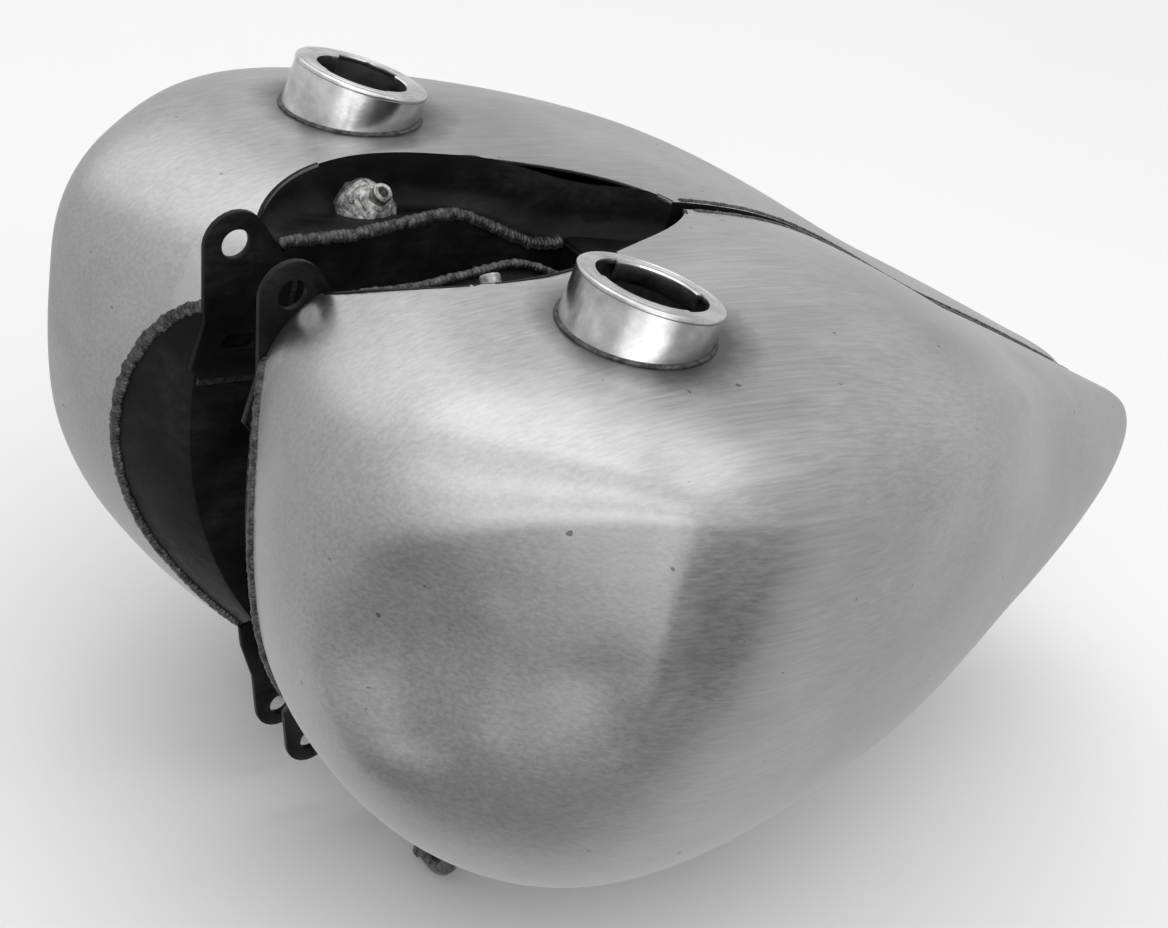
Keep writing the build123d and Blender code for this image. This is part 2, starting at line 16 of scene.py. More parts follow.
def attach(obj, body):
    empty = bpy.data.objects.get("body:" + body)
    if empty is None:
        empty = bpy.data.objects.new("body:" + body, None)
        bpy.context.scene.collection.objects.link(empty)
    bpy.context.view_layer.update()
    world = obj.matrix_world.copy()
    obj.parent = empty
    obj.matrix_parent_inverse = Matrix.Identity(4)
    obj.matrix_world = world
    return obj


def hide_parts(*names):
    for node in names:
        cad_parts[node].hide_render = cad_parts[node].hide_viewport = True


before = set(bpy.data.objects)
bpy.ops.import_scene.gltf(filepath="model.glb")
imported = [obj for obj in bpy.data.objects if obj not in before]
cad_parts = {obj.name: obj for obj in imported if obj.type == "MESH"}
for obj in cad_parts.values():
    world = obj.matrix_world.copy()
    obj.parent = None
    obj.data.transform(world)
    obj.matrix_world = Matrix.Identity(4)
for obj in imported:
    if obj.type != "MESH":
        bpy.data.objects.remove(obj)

LOG = logging.getLogger("fuel_tank")

SHEET_MERGE = 0.00002
RING_MERGE = 0.000001

Piece = bpy.types.Object
Material = bpy.types.Material
Socket = bpy.types.NodeSocket
Triple = tuple[float, float, float]


class Side(Enum):
    """The two halves of the tank, with the sign of their Y."""

    LEFT = 1
    RIGHT = -1

    @property
    def tag(self) -> str:
        """The end of a node's name on this side."""
        return "left" if self is Side.LEFT else "right"

    @property
    def body(self) -> str:
        """The body that pieces on this side ride on."""
        return f"{self.tag}_half"


class Finish(Enum):
    """The record's material slots."""

    BARE_STEEL = "bare_steel"
    DARK_PANEL = "dark_panel"
    NECK_STEEL = "neck_steel"
    WELD_METAL = "weld_metal"
    DARK_WELD = "dark_weld"


# ---------------------------------------------------------------- bench tools


def deselect() -> None:
    """Leave edit mode and deselect everything."""
    if bpy.context.object is not None and bpy.context.object.mode != "OBJECT":
        bpy.ops.object.mode_set(mode="OBJECT")
    bpy.ops.object.select_all(action="DESELECT")


def pick(*objects: Piece) -> None:
    """Select these objects and make the first one active.

    Args:
        objects: the objects to select.
    """
    deselect()
    for piece in objects:
        piece.select_set(True)
    bpy.context.view_layer.objects.active = objects[0]


def duplicate(piece: Piece, name: str) -> Piece:
    """Copy a piece with a mesh of its own.

    Args:
        piece: the piece to copy.
        name: the copy's name.

    Returns:
        The copy, free of any parent.
    """
    copy = bpy.data.objects.new(name, piece.data.copy())
    copy.data.name = name
    bpy.context.scene.collection.objects.link(copy)
    return copy


def remove(*objects: Piece) -> None:
    """Delete working solids that are no longer needed."""
    for piece in objects:
        bpy.data.objects.remove(piece, do_unlink=True)


def modify(piece: Piece, kind: str, **settings: object) -> None:
    """Add a modifier, set it and apply it.

    Args:
        piece: the piece to change.
        kind: the modifier's type.
        settings: its properties.
    """
    pick(piece)
    modifier = piece.modifiers.new(kind.lower(), kind)
    for key, value in settings.items():
        setattr(modifier, key, value)
    bpy.ops.object.modifier_apply(modifier=modifier.name)


def cut(piece: Piece, tool: Piece, operation: str = "DIFFERENCE") -> None:
    """Cut a piece with a tool solid, keeping the tool's marker material on the new faces."""
    modify(piece, "BOOLEAN", operation=operation, object=tool, solver="EXACT", material_mode="TRANSFER")


def keep_marked(piece: Piece, marker: Material) -> None:
    """Delete every face that doesn't carry the marker material.

    Args:
        piece: a piece that came out of cuts.
        marker: the material of the faces to keep.
    """
    names = [slot.material.name if slot.material else "" for slot in piece.material_slots]
    wanted = {i for i, name in enumerate(names) if name == marker.name}
    pick(piece)
    bpy.ops.object.mode_set(mode="EDIT")
    mesh = bmesh.from_edit_mesh(piece.data)
    for part in (*mesh.faces, *mesh.edges, *mesh.verts):
        part.select_set(False)
    for face in mesh.faces:
        face.select_set(face.material_index not in wanted)
    bmesh.update_edit_mesh(piece.data)
    bpy.ops.mesh.delete(type="FACE")
    bpy.ops.object.mode_set(mode="OBJECT")


def tidy_mesh(piece: Piece, distance: float = SHEET_MERGE) -> None:
    """Merge doubles and turn the faces outwards."""
    pick(piece)
    bpy.ops.object.mode_set(mode="EDIT")
    bpy.ops.mesh.select_all(action="SELECT")
    bpy.ops.mesh.remove_doubles(threshold=distance)
    bpy.ops.mesh.normals_make_consistent(inside=False)
    bpy.ops.object.mode_set(mode="OBJECT")


def soften(piece: Piece, width: float, degrees: float) -> None:
    """Bevel a piece's edges that are sharper than an angle."""
    modify(piece, "BEVEL", width=width, segments=2, limit_method="ANGLE", angle_limit=math.radians(degrees))


def smooth(piece: Piece, degrees: float = 35.0) -> None:
    """Shade a piece smooth except over sharp edges."""
    pick(piece)
    bpy.ops.object.shade_smooth_by_angle(angle=math.radians(degrees))


def stack_rings(name: str, rings: Sequence[Sequence[Vector]], marker: Material | None = None) -> Piece:
    """Raise a closed solid through rings of equal length, from a filled circle extruded ring by ring.

    Args:
        name: the solid's name.
        rings: rings of points, each in the same order.
        marker: a material that marks the solid's faces.

    Returns:
        The closed solid.
    """
    deselect()
    bpy.ops.mesh.primitive_circle_add(vertices=len(rings[0]), radius=1.0, fill_type="NGON")
    solid = bpy.context.object
    solid.name = solid.data.name = name
    bpy.ops.object.mode_set(mode="EDIT")
    for step, ring in enumerate(rings):
        if step:
            bpy.ops.mesh.extrude_region()
        mesh = bmesh.from_edit_mesh(solid.data)
        top = next(face for face in mesh.faces if face.select)
        for vertex, point in zip(top.verts, ring):
            vertex.co = point
        bmesh.update_edit_mesh(solid.data)
    bpy.ops.mesh.select_all(action="SELECT")
    bpy.ops.mesh.normals_make_consistent(inside=False)
    bpy.ops.object.mode_set(mode="OBJECT")
    if marker is not None:
        solid.data.materials.append(marker)
    return solid


def closed_ring(name: str, sections: Sequence[Sequence[Vector]]) -> Piece:
    """Raise a closed ring through sections that come back to the first one, with no faces inside.

    Args:
        name: the ring's name.
        sections: rings of points, each in the same order.

    Returns:
        The closed ring.
    """
    ring = stack_rings(name, [*sections, sections[0]])
    pick(ring)
    bpy.ops.object.mode_set(mode="EDIT")
    mesh = bmesh.from_edit_mesh(ring.data)
    for face in mesh.faces:
        face.select_set(len(face.verts) > 4)
    bmesh.update_edit_mesh(ring.data)
    bpy.ops.mesh.delete(type="FACE")
    bpy.ops.object.mode_set(mode="OBJECT")
    tidy_mesh(ring, RING_MERGE)
    return ring


def mirrored(piece: Piece, name: str) -> Piece:
    """Copy a piece to the other half, turned right side out.

    Args:
        piece: a piece of the left half.
        name: the copy's name.

    Returns:
        The mirror image about the centre plane.
    """
    copy = duplicate(piece, name)
    copy.data.transform(Matrix.Scale(-1.0, 4, Vector((0.0, 1.0, 0.0))))
    copy.data.flip_normals()
    return copy


def circle_points(centre: Vector, across: Vector, up: Vector, radius: float, count: int) -> list[Vector]:
    """Points of a circle about a centre, in the plane of two unit vectors."""
    turns = [2 * math.pi * k / count for k in range(count)]
    return [centre + across * (radius * math.cos(t)) + up * (radius * math.sin(t)) for t in turns]


# ---------------------------------------------------------------- shape of the tank


@dataclass(frozen=True)
class TankShape:
    """The tank half's outer shape, in metres, as the frame has it."""

    length: float = 0.586
    half_width: float = 0.217
    depth: float = 0.280
    nose_x: float = 0.033
    crown_z: float = 0.021
    outer: tuple[float, ...] = (0.0, 0.28, 0.57, 0.535, 0.32, 0.157, 0.0)
    inner: tuple[float, ...] = (0.0, 0.48, 0.83, 0.76, 0.585, 0.294, 0.0)
    crown: tuple[float, ...] = (0.23, 0.055, 0.0, 0.03, 0.238, 0.392, 0.468)
    keel: tuple[float, ...] = (0.285, 0.71, 0.98, 0.975, 0.815, 0.612, 0.496)
    shoulder: tuple[float, ...] = (0.59, 0.87, 0.76, 0.53, 0.495)
    middle_at_nose: float = 0.515
    middle_at_tail: float = 0.133
    roundness: float = 2.35
    face_normal: Triple = (0.65, 0.757, -0.04)
    face_distance: float = 0.1128
    face_edge: float = 0.0016
    face_crown: float = 0.10
    face_top: float = 0.006
    face_fade: float = 0.115

    def pressed(self, point: Vector) -> Vector:
        """Press the bulge of the front side against a flat former, with a soft edge all round."""
        normal = Vector(self.face_normal).normalized()
        proud = abs(point.y) * normal.y + point.x * normal.x + point.z * normal.z - self.face_distance
        if proud < -8 * self.face_edge:
            return point
        left = -self.face_edge * math.log1p(math.exp(-proud / self.face_edge))
        left += self.face_crown * max(proud, 0.0)
        fade = min(max((self.face_top - point.z) / self.face_fade, 0.0), 1.0)
        return point - normal * (proud - left) * fade * fade * (3 - 2 * fade)

    @staticmethod
    def along(values: Sequence[float], share: float) -> float:
        """Read a smooth curve through evenly spaced values at a share of the way."""
        spans = len(values) - 1
        place = min(max(share, 0.0), 1.0) * spans
        k = min(int(place), spans - 1)
        u = place - k
        before = values[k - 1] if k > 0 else 2 * values[0] - values[1]
        after = values[k + 2] if k < spans - 1 else 2 * values[-1] - values[-2]
        start, end = values[k], values[k + 1]
        leave, arrive = (end - before) / 2, (after - start) / 2
        bend = 2 * start - 2 * end + leave + arrive
        lift = -3 * start + 3 * end - 2 * leave - arrive
        return start + leave * u + lift * u * u + bend * u**3

    def share_at(self, x: float) -> float:
        """The cosine-scale share from nose to tail at x."""
        part = min(max((self.nose_x - x) / self.length, 0.0), 1.0)
        return math.acos(1 - 2 * part) / math.pi

    def sizes(self, share: float) -> tuple[float, float, float, float, float, float]:
        """Middle, widest height, outer and inner half-widths, crown and keel at a share."""
        part = (1 - math.cos(math.pi * share)) / 2
        middle = self.half_width * (self.middle_at_nose + (self.middle_at_tail - self.middle_at_nose) * part)
        crown = self.crown_z - self.depth * self.along(self.crown, share)
        keel = self.crown_z - self.depth * self.along(self.keel, share)
        widest = keel + (crown - keel) * self.along(self.shoulder, share)
        outer = self.half_width * self.along(self.outer, share)
        inner = self.half_width * self.along(self.inner, share)
        return middle, widest, outer, inner, crown, keel

    def point(self, share: float, angle: float) -> Vector:
        """A point of the outer surface at a share of the length and an angle round the section."""
        middle, widest, outer, inner, crown, keel = self.sizes(share)
        across = math.copysign(abs(math.cos(angle)) ** (2 / self.roundness), math.cos(angle))
        up = math.copysign(abs(math.sin(angle)) ** (2 / self.roundness), math.sin(angle))
        x = self.nose_x - self.length * (1 - math.cos(math.pi * share)) / 2
        y = middle + across * (outer if across > 0 else inner)
        z = widest + up * (crown - widest if up > 0 else widest - keel)
        return self.pressed(Vector((x, y, z)))

    def top(self, x: float, y: float) -> float:
        """Height of the top of the surface at x, y."""
        middle, widest, outer, inner, crown, _ = self.sizes(self.share_at(x))
        reach = min(abs(y - middle) / (outer if y > middle else inner), 1.0)
        return widest + (crown - widest) * (1 - reach**self.roundness) ** (1 / self.roundness)

    def bottom(self, x: float, y: float) -> float:
        """Height of the underside of the surface at x, y."""
        middle, widest, outer, inner, _, keel = self.sizes(self.share_at(x))
        reach = min(abs(y - middle) / (outer if y > middle else inner), 1.0)
        return widest - (widest - keel) * (1 - reach**self.roundness) ** (1 / self.roundness)

    def front(self, y: float, z: float) -> float:
        """The x of the surface's front at y, z, found by halving."""
        low, high, tiny = 0.0, 0.45, 1e-6
        for _ in range(40):
            share = (low + high) / 2
            middle, widest, outer, inner, crown, keel = self.sizes(share)
            side = outer if y > middle else inner
            rise = crown - widest if z > widest else widest - keel
            inside = (abs(y - middle) / max(side, tiny)) ** self.roundness
            inside += (abs(z - widest) / max(rise, tiny)) ** self.roundness
            low, high = (low, share) if inside < 1 else (share, high)
        return self.nose_x - self.length * (1 - math.cos(math.pi * high)) / 2


SHAPE = TankShape()


@dataclass(frozen=True)
class TankCuts:
    """Sizes of the tunnel, dash recess, front lip and neck, in metres."""

    panel_y: float = 0.025
    seam_y: float = 0.004
    roof_drop: float = 0.026
    roof_front_x: float = -0.172
    lip_half_width: float = 0.064
    lip_half_height: float = 0.104
    lip_z: float = -0.124
    recess_length: float = 0.212
    recess_front_x: float = -0.002
    recess_half_width: float = 0.063
    recess_floor_z: float = -0.004
    recess_radius: float = 0.011
    recess_side: tuple[tuple[float, float], ...] = ((0.10, 0.66), (0.36, 1.0), (0.72, 0.68), (0.95, 0.24))
    neck_x: float = -0.106
    neck_y: float = 0.111
    neck_rise: float = 0.017
    neck_lean: float = math.radians(9.0)

    def recess_outline(self, inset: float, count: int = 128) -> list[tuple[float, float]]:
        """Closed outline of the recess seen from above, as a smooth curve through its key points.

        Args:
            inset: how far the outline moves in.
            count: the number of points.

        Returns:
            Points (x, y) evenly spaced along the curve's parameter.
        """
        front = self.recess_front_x - inset
        length = self.recess_length - 2 * inset
        half = self.recess_half_width - inset
        side = [(front - t * length, share * half) for t, share in self.recess_side]
        keys = np.array([(front, 0.0), *side, (front - length, 0.0), *[(x, -y) for x, y in reversed(side)]])
        size = len(keys)
        chord = np.linalg.norm(np.roll(keys, -1, 0) - keys, axis=1)
        matrix = np.zeros((size, size))
        right = np.zeros((size, 2))
        for i in range(size):
            before, after = chord[i - 1], chord[i]
            matrix[i, i - 1] += before
            matrix[i, i] += 2 * (before + after)
            matrix[i, (i + 1) % size] += after
            right[i] = 6 * ((keys[(i + 1) % size] - keys[i]) / after - (keys[i] - keys[i - 1]) / before)
        curve = np.linalg.solve(matrix, right)
        total = chord.sum()
        starts = np.concatenate([[0.0], np.cumsum(chord)])
        points = []
        for k in range(count):
            t = total * k / count
            i = min(int(np.searchsorted(starts, t, side="right")) - 1, size - 1)
            h, a = chord[i], t - starts[i]
            b = h - a
            j = (i + 1) % size
            value = curve[i] * b**3 / (6 * h) + curve[j] * a**3 / (6 * h)
            value += (keys[i] / h - curve[i] * h / 6) * b + (keys[j] / h - curve[j] * h / 6) * a
            points.append((float(value[0]), float(value[1])))
        return points

    @property
    def neck_axis(self) -> Vector:
        """Unit vector up the neck."""
        return Vector((-math.sin(self.neck_lean), 0.0, math.cos(self.neck_lean)))

    @property
    def neck_rim(self) -> Vector:
        """Centre of the left neck's rim."""
        return Vector((self.neck_x, self.neck_y, SHAPE.crown_z + self.neck_rise))


CUTS = TankCuts()


# ---------------------------------------------------------------- finishes


@dataclass
class NodeBench:
    """A material's or world's node tree, with short calls for the nodes that are used often."""

    owner: Material | bpy.types.World

    @classmethod
    def fresh(cls, name: str) -> "NodeBench":
        """Start a material with an empty tree."""
        material = bpy.data.materials.new(name)
        material.use_nodes = True
        material.node_tree.nodes.clear()
        return cls(material)

    def node(self, kind: str, **settings: object) -> bpy.types.Node:
        """Add a node and set its properties or input values by name."""
        node = self.owner.node_tree.nodes.new(kind)
        for key, value in settings.items():
            if hasattr(node, key):
                setattr(node, key, value)
            else:
                node.inputs[key.replace("_", " ").title()].default_value = value
        return node

    def link(self, source: Socket, target: Socket) -> None:
        """Join two sockets."""
        self.owner.node_tree.links.new(source, target)

    def place(self, scale: Triple = (1.0, 1.0, 1.0), turn: Triple = (0.0, 0.0, 0.0)) -> Socket:
        """Object coordinates, turned and scaled.

        Args:
            scale: pattern scale along X, Y and Z, per metre.
            turn: rotation of the pattern.

        Returns:
            The vector socket.
        """
        coordinates = self.node("ShaderNodeTexCoord")
        mapping = self.node("ShaderNodeMapping")
        mapping.inputs["Scale"].default_value = scale
        mapping.inputs["Rotation"].default_value = turn
        self.link(coordinates.outputs["Object"], mapping.inputs["Vector"])
        return mapping.outputs["Vector"]

    def away_from(self, place: Triple, stretch: Triple) -> Socket:
        """Distance from a place that both halves have, in metres.

        Args:
            place: the place on the left half.
            stretch: how much each axis counts.

        Returns:
            The distance socket.
        """
        parts = self.node("ShaderNodeSeparateXYZ")
        joined = self.node("ShaderNodeCombineXYZ")
        self.link(self.place(), parts.inputs["Vector"])
        self.link(parts.outputs["X"], joined.inputs["X"])
        self.link(self.together("ABSOLUTE", parts.outputs["Y"], 0.0), joined.inputs["Y"])
        self.link(parts.outputs["Z"], joined.inputs["Z"])
        vector = joined.outputs["Vector"]
        for operation, amounts in (("SUBTRACT", place), ("MULTIPLY", stretch)):
            step = self.node("ShaderNodeVectorMath", operation=operation)
            step.inputs[1].default_value = amounts
            self.link(vector, step.inputs[0])
            vector = step.outputs["Vector"]
        length = self.node("ShaderNodeVectorMath", operation="LENGTH")
        self.link(vector, length.inputs[0])
        return length.outputs["Value"]

    def noise(self, vector: Socket, scale: float, detail: float = 4.0, roughness: float = 0.55) -> Socket:
        """Noise read at a vector; returns its value from 0 to 1."""
        texture = self.node("ShaderNodeTexNoise")
        texture.inputs["Scale"].default_value = scale
        texture.inputs["Detail"].default_value = detail
        texture.inputs["Roughness"].default_value = roughness
        self.link(vector, texture.inputs["Vector"])
        return texture.outputs["Fac"]

    def spread(
        self, value: Socket, low: float, high: float, to_low: float, to_high: float, curve: str = "LINEAR"
    ) -> Socket:
        """Map a value's range onto another, straight or along a smooth curve."""
        mapped = self.node("ShaderNodeMapRange", interpolation_type=curve)
        for key, number in (("From Min", low), ("From Max", high), ("To Min", to_low), ("To Max", to_high)):
            mapped.inputs[key].default_value = number
        self.link(value, mapped.inputs["Value"])
        return mapped.outputs["Result"]

    def blend(self, amount: Socket, first: object, second: object) -> Socket:
        """Mix two colours or colour sockets by an amount."""
        mixer = self.node("ShaderNodeMix", data_type="RGBA")
        self.link(amount, mixer.inputs[0])
        for socket, colour in ((mixer.inputs[6], first), (mixer.inputs[7], second)):
            if isinstance(colour, Socket):
                self.link(colour, socket)
            else:
                socket.default_value = (*colour, 1.0)
        return mixer.outputs[2]

    def together(self, operation: str, first: Socket, second: object) -> Socket:
        """Join two values by a math operation."""
        maths = self.node("ShaderNodeMath", operation=operation)
        self.link(first, maths.inputs[0])
        if isinstance(second, Socket):
            self.link(second, maths.inputs[1])
        else:
            maths.inputs[1].default_value = second
        return maths.outputs[0]

    def weigh(self, *shares: tuple[Socket, float]) -> Socket:
        """Add up values, each times its weight."""
        total = None
        for value, weight in shares:
            part = value if weight == 1.0 else self.together("MULTIPLY", value, weight)
            total = part if total is None else self.together("ADD", total, part)
        return total

    def relief(
        self, height: Socket, distance: float, strength: float = 1.0, after: Socket | None = None
    ) -> Socket:
        """Bump from a height, on top of another bump if one is given."""
        bump = self.node("ShaderNodeBump")
        bump.inputs["Distance"].default_value = distance
        bump.inputs["Strength"].default_value = strength
        self.link(height, bump.inputs["Height"])
        if after is not None:
            self.link(after, bump.inputs["Normal"])
        return bump.outputs["Normal"]

    def metal(
        self,
        metallic: float,
        colour: Socket,
        roughness: Socket,
        normal: Socket,
        anisotropy: float = 0.0,
        shine: float = 0.5,
    ) -> Material:
        """Finish the material with one metal surface.

        Args:
            metallic: how metallic the surface is.
            colour: base colour socket.
            roughness: roughness socket.
            normal: bumped normal socket.
            anisotropy: how much the grain draws out highlights.
            shine: specular level of the part of the surface that isn't metal.

        Returns:
            The finished material.
        """
        surface = self.node("ShaderNodeBsdfPrincipled")
        surface.inputs["Metallic"].default_value = metallic
        surface.inputs["Anisotropic"].default_value = anisotropy
        surface.inputs["Specular IOR Level"].default_value = shine
        self.link(colour, surface.inputs["Base Color"])
        self.link(roughness, surface.inputs["Roughness"])
        self.link(normal, surface.inputs["Normal"])
        output = self.node("ShaderNodeOutputMaterial")
        self.link(surface.outputs["BSDF"], output.inputs["Surface"])
        return self.owner


@dataclass(frozen=True)
class Tint:
    """A ragged patch of grey round a place that both halves have.

    Args:
        place: the middle of the patch on the left half.
        stretch: how much each axis counts towards the distance from it.
        ragged: how far the edge wanders.
        full: the distance at which the patch is at its strongest.
        gone: the distance at which it has faded out.
        amount: how strong it is in the middle.
        grey: its tone.
    """

    place: Triple
    stretch: Triple
    ragged: float
    full: float
    gone: float
    amount: float
    grey: float


@dataclass(frozen=True)
class BareSteel:
    """Raw pressed sheet, brushed lengthwise, with soft blotches, faint scuffs and specks, a dark ring round
    the neck's foot, a lighter ground patch and a painted dark reflection on the front face.
    """

    light: Triple = (0.50, 0.50, 0.50)
    dark: Triple = (0.33, 0.33, 0.33)
    grain: float = 580.0
    roughness: float = 0.36
    # A darker grey ring on the skin round the neck's foot.
    heat: Tint = Tint((-0.107, 0.113, 0.016), (1.0, 1.0, 0.3), 0.016, 0.041, 0.058, 0.86, 0.07)
    ground: Tint = Tint((0.012, 0.030, -0.024), (1.0, 1.0, 0.35), 0.036, 0.026, 0.030, 0.5, 0.56)
    # Painted reflection: this darker patch on the front face stands for the dark surroundings that the steel
    # mirrors there; it is no mark on the steel.
    polish: Tint = Tint((-0.092, 0.209, -0.062), (1.6, 1.0, 0.75), 0.012, 0.018, 0.034, 0.26, 0.16)

    def make(self) -> Material:
        """Build the material."""
        bench = NodeBench.fresh("bare_steel")
        streaks = bench.noise(bench.place((0.035, 1.0, 1.0), (0.0, 0.22, 0.0)), self.grain, 3.0, 0.7)
        fine = bench.noise(bench.place((0.12, 1.0, 1.0), (0.0, 0.22, 0.0)), 1900.0, 2.0, 0.6)
        blotches = bench.noise(bench.place(), 9.0, 4.0, 0.55)
        patches = bench.noise(bench.place((1.0, 1.4, 1.4)), 34.0, 6.0, 0.7)
        specks = bench.noise(bench.place(), 150.0, 2.0, 0.5)
        tone = bench.spread(blotches, 0.35, 0.65, 0.0, 1.0)
        strokes = bench.spread(streaks, 0.33, 0.67, 0.0, 1.0)
        tone = bench.weigh((tone, 0.55), (patches, 0.35), (strokes, 0.45))
        colour = bench.blend(bench.spread(tone, 0.22, 1.08, 0.0, 1.0), self.dark, self.light)
        pit = bench.spread(specks, 0.745, 0.78, 0.0, 0.8)
        colour = bench.blend(pit, colour, (0.12, 0.12, 0.12))
        # Blend in the patches: the dark ring round the neck's foot, the lighter ground patch and the painted
        # dark reflection on the front face.
        for tint in (self.heat, self.ground, self.polish):
            away = bench.away_from(tint.place, tint.stretch)
            away = bench.weigh((away, 1.0), (patches, tint.ragged))
            amount = bench.spread(away, tint.full, tint.gone, tint.amount, 0.0)
            colour = bench.blend(amount, colour, (tint.grey,) * 3)
        worn = bench.weigh((streaks, 0.5), (blotches, 0.5))
        rough = bench.spread(worn, 0.3, 0.7, self.roughness - 0.07, self.roughness + 0.09)
        height = bench.weigh((streaks, 0.7), (fine, 0.3))
        dents = bench.relief(bench.noise(bench.place(), 16.0, 2.0, 0.5), 0.0011, 0.55)
        normal = bench.relief(height, 0.00006, 0.6, dents)
        return bench.metal(1.0, colour, rough, normal, 0.35)


@dataclass(frozen=True)
class DarkPanel:
    """Black mill scale and primer on the inner sheets, satin with rubbed scuffs; the black and the low shine
    are darker than the coating alone, to paint in the shade inside the tunnel.
    """

    # Partly the coating's own black, partly painted shade: darker than the coating, to stand for the shade
    # inside the tunnel.
    black: Triple = (0.003, 0.003, 0.003)
    scuff: Triple = (0.028, 0.028, 0.028)

    def make(self) -> Material:
        """Build the material."""
        bench = NodeBench.fresh("dark_panel")
        haze = bench.noise(bench.place(), 24.0, 5.0, 0.6)
        rubs = bench.noise(bench.place((0.3, 1.0, 1.0), (0.3, 0.2, 0.5)), 190.0, 6.0, 0.75)
        grit = bench.noise(bench.place(), 520.0, 3.0, 0.6)
        hazed, rubbed = bench.spread(haze, 0.42, 0.72, 0.0, 1.0), bench.spread(rubs, 0.4, 0.75, 0.0, 1.0)
        wear = bench.together("MULTIPLY", hazed, rubbed)
        wear = bench.weigh((wear, 1.0), (bench.spread(haze, 0.3, 0.8, 0.0, 0.28), 1.0))
        colour = bench.blend(wear, self.black, self.scuff)
        rough = bench.spread(rubs, 0.3, 0.7, 0.30, 0.52)
        waves = bench.relief(haze, 0.0012, 0.4)
        normal = bench.relief(bench.weigh((rubs, 1.0), (grit, 0.5)), 0.00012, 0.5, waves)
        # The low specular level is partly painted shade, dimming reflections to stand for the shade inside
        # the tunnel.
        return bench.metal(0.0, colour, rough, normal, shine=0.09)


@dataclass(frozen=True)
class NeckSteel:
    """Turned and polished neck steel with fine rings of tool marks."""

    bright: Triple = (0.70, 0.70, 0.70)
    dull: Triple = (0.38, 0.38, 0.38)

    def make(self) -> Material:
        """Build the material."""
        bench = NodeBench.fresh("neck_steel")
        rings = bench.noise(bench.place((0.06, 0.06, 1.0)), 1500.0, 2.0, 0.5)
        stain = bench.noise(bench.place(), 60.0, 5.0, 0.6)
        colour = bench.blend(bench.spread(stain, 0.35, 0.7, 0.0, 1.0), self.bright, self.dull)
        rough = bench.spread(stain, 0.3, 0.7, 0.14, 0.30)
        dents = bench.relief(stain, 0.0004, 0.4)
        normal = bench.relief(rings, 0.00003, 0.4, dents)
        return bench.metal(1.0, colour, rough, normal)


@dataclass(frozen=True)
class WeldMetal:
    """Bright rough weld metal, pitted and spattered."""

    name: str = "weld_metal"
    high: Triple = (0.55, 0.55, 0.54)
    low: Triple = (0.10, 0.10, 0.10)
    smooth_at: float = 0.32
    rough_at: float = 0.62

    def make(self) -> Material:
        """Build the material."""
        bench = NodeBench.fresh(self.name)
        lumps = bench.noise(bench.place(), 260.0, 6.0, 0.7)
        crust = bench.noise(bench.place(), 900.0, 3.0, 0.6)
        colour = bench.blend(bench.spread(lumps, 0.38, 0.62, 0.0, 1.0), self.low, self.high)
        rough = bench.spread(crust, 0.3, 0.7, self.smooth_at, self.rough_at)
        heaps = bench.relief(lumps, 0.0012, 0.7)
        normal = bench.relief(crust, 0.0003, 0.5, heaps)
        return bench.metal(0.85, colour, rough, normal)


@dataclass(frozen=True)
class DarkWeld(WeldMetal):
    """Sooty rippled weld, as laid and not ground."""

    name: str = "dark_weld"
    high: Triple = (0.11, 0.11, 0.11)
    low: Triple = (0.022, 0.022, 0.022)
    smooth_at: float = 0.26
    rough_at: float = 0.5


class FinishShelf:
    """All the finishes, each built once."""

    def __init__(self) -> None:
        """Build every finish."""
        self.materials: dict[Finish, Material] = {
            Finish.BARE_STEEL: BareSteel().make(),
            Finish.DARK_PANEL: DarkPanel().make(),
            Finish.NECK_STEEL: NeckSteel().make(),
            Finish.WELD_METAL: WeldMetal().make(),
            Finish.DARK_WELD: DarkWeld().make(),
        }

    def dress(self, piece: Piece, finish: Finish) -> None:
        """Give a piece one finish all over."""
        if piece.data.materials:
            for index in range(len(piece.data.materials)):
                piece.data.materials[index] = self.materials[finish]
        else:
            piece.data.materials.append(self.materials[finish])


SHELF = FinishShelf()


def seat(piece: Piece, side: Side, finish: Finish, nodes: Iterable[str] = ()) -> None:
    """Dress a new piece, put it on its half and let it stand for the frame's nodes.

    Args:
        piece: the finished piece.
        side: the half it belongs to.
        finish: its finish.
        nodes: base names of the nodes it replaces.
    """
    SHELF.dress(piece, finish)
    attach(piece, side.body)
    replaced = [f"{name}_{side.tag}" for name in nodes]
    if replaced:
        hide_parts(*replaced)
    LOG.info("%s: %d faces on %s", piece.name, len(piece.data.polygons), side.body)


def make_pair(piece: Piece, finish: Finish, nodes: Sequence[str]) -> None:
    """Seat a left piece and its mirror image on the right."""
    base = piece.name.removesuffix("_left")
    other = mirrored(piece, f"{base}_right")
    seat(piece, Side.LEFT, finish, nodes)
    seat(other, Side.RIGHT, finish, nodes)


# ---------------------------------------------------------------- working solids


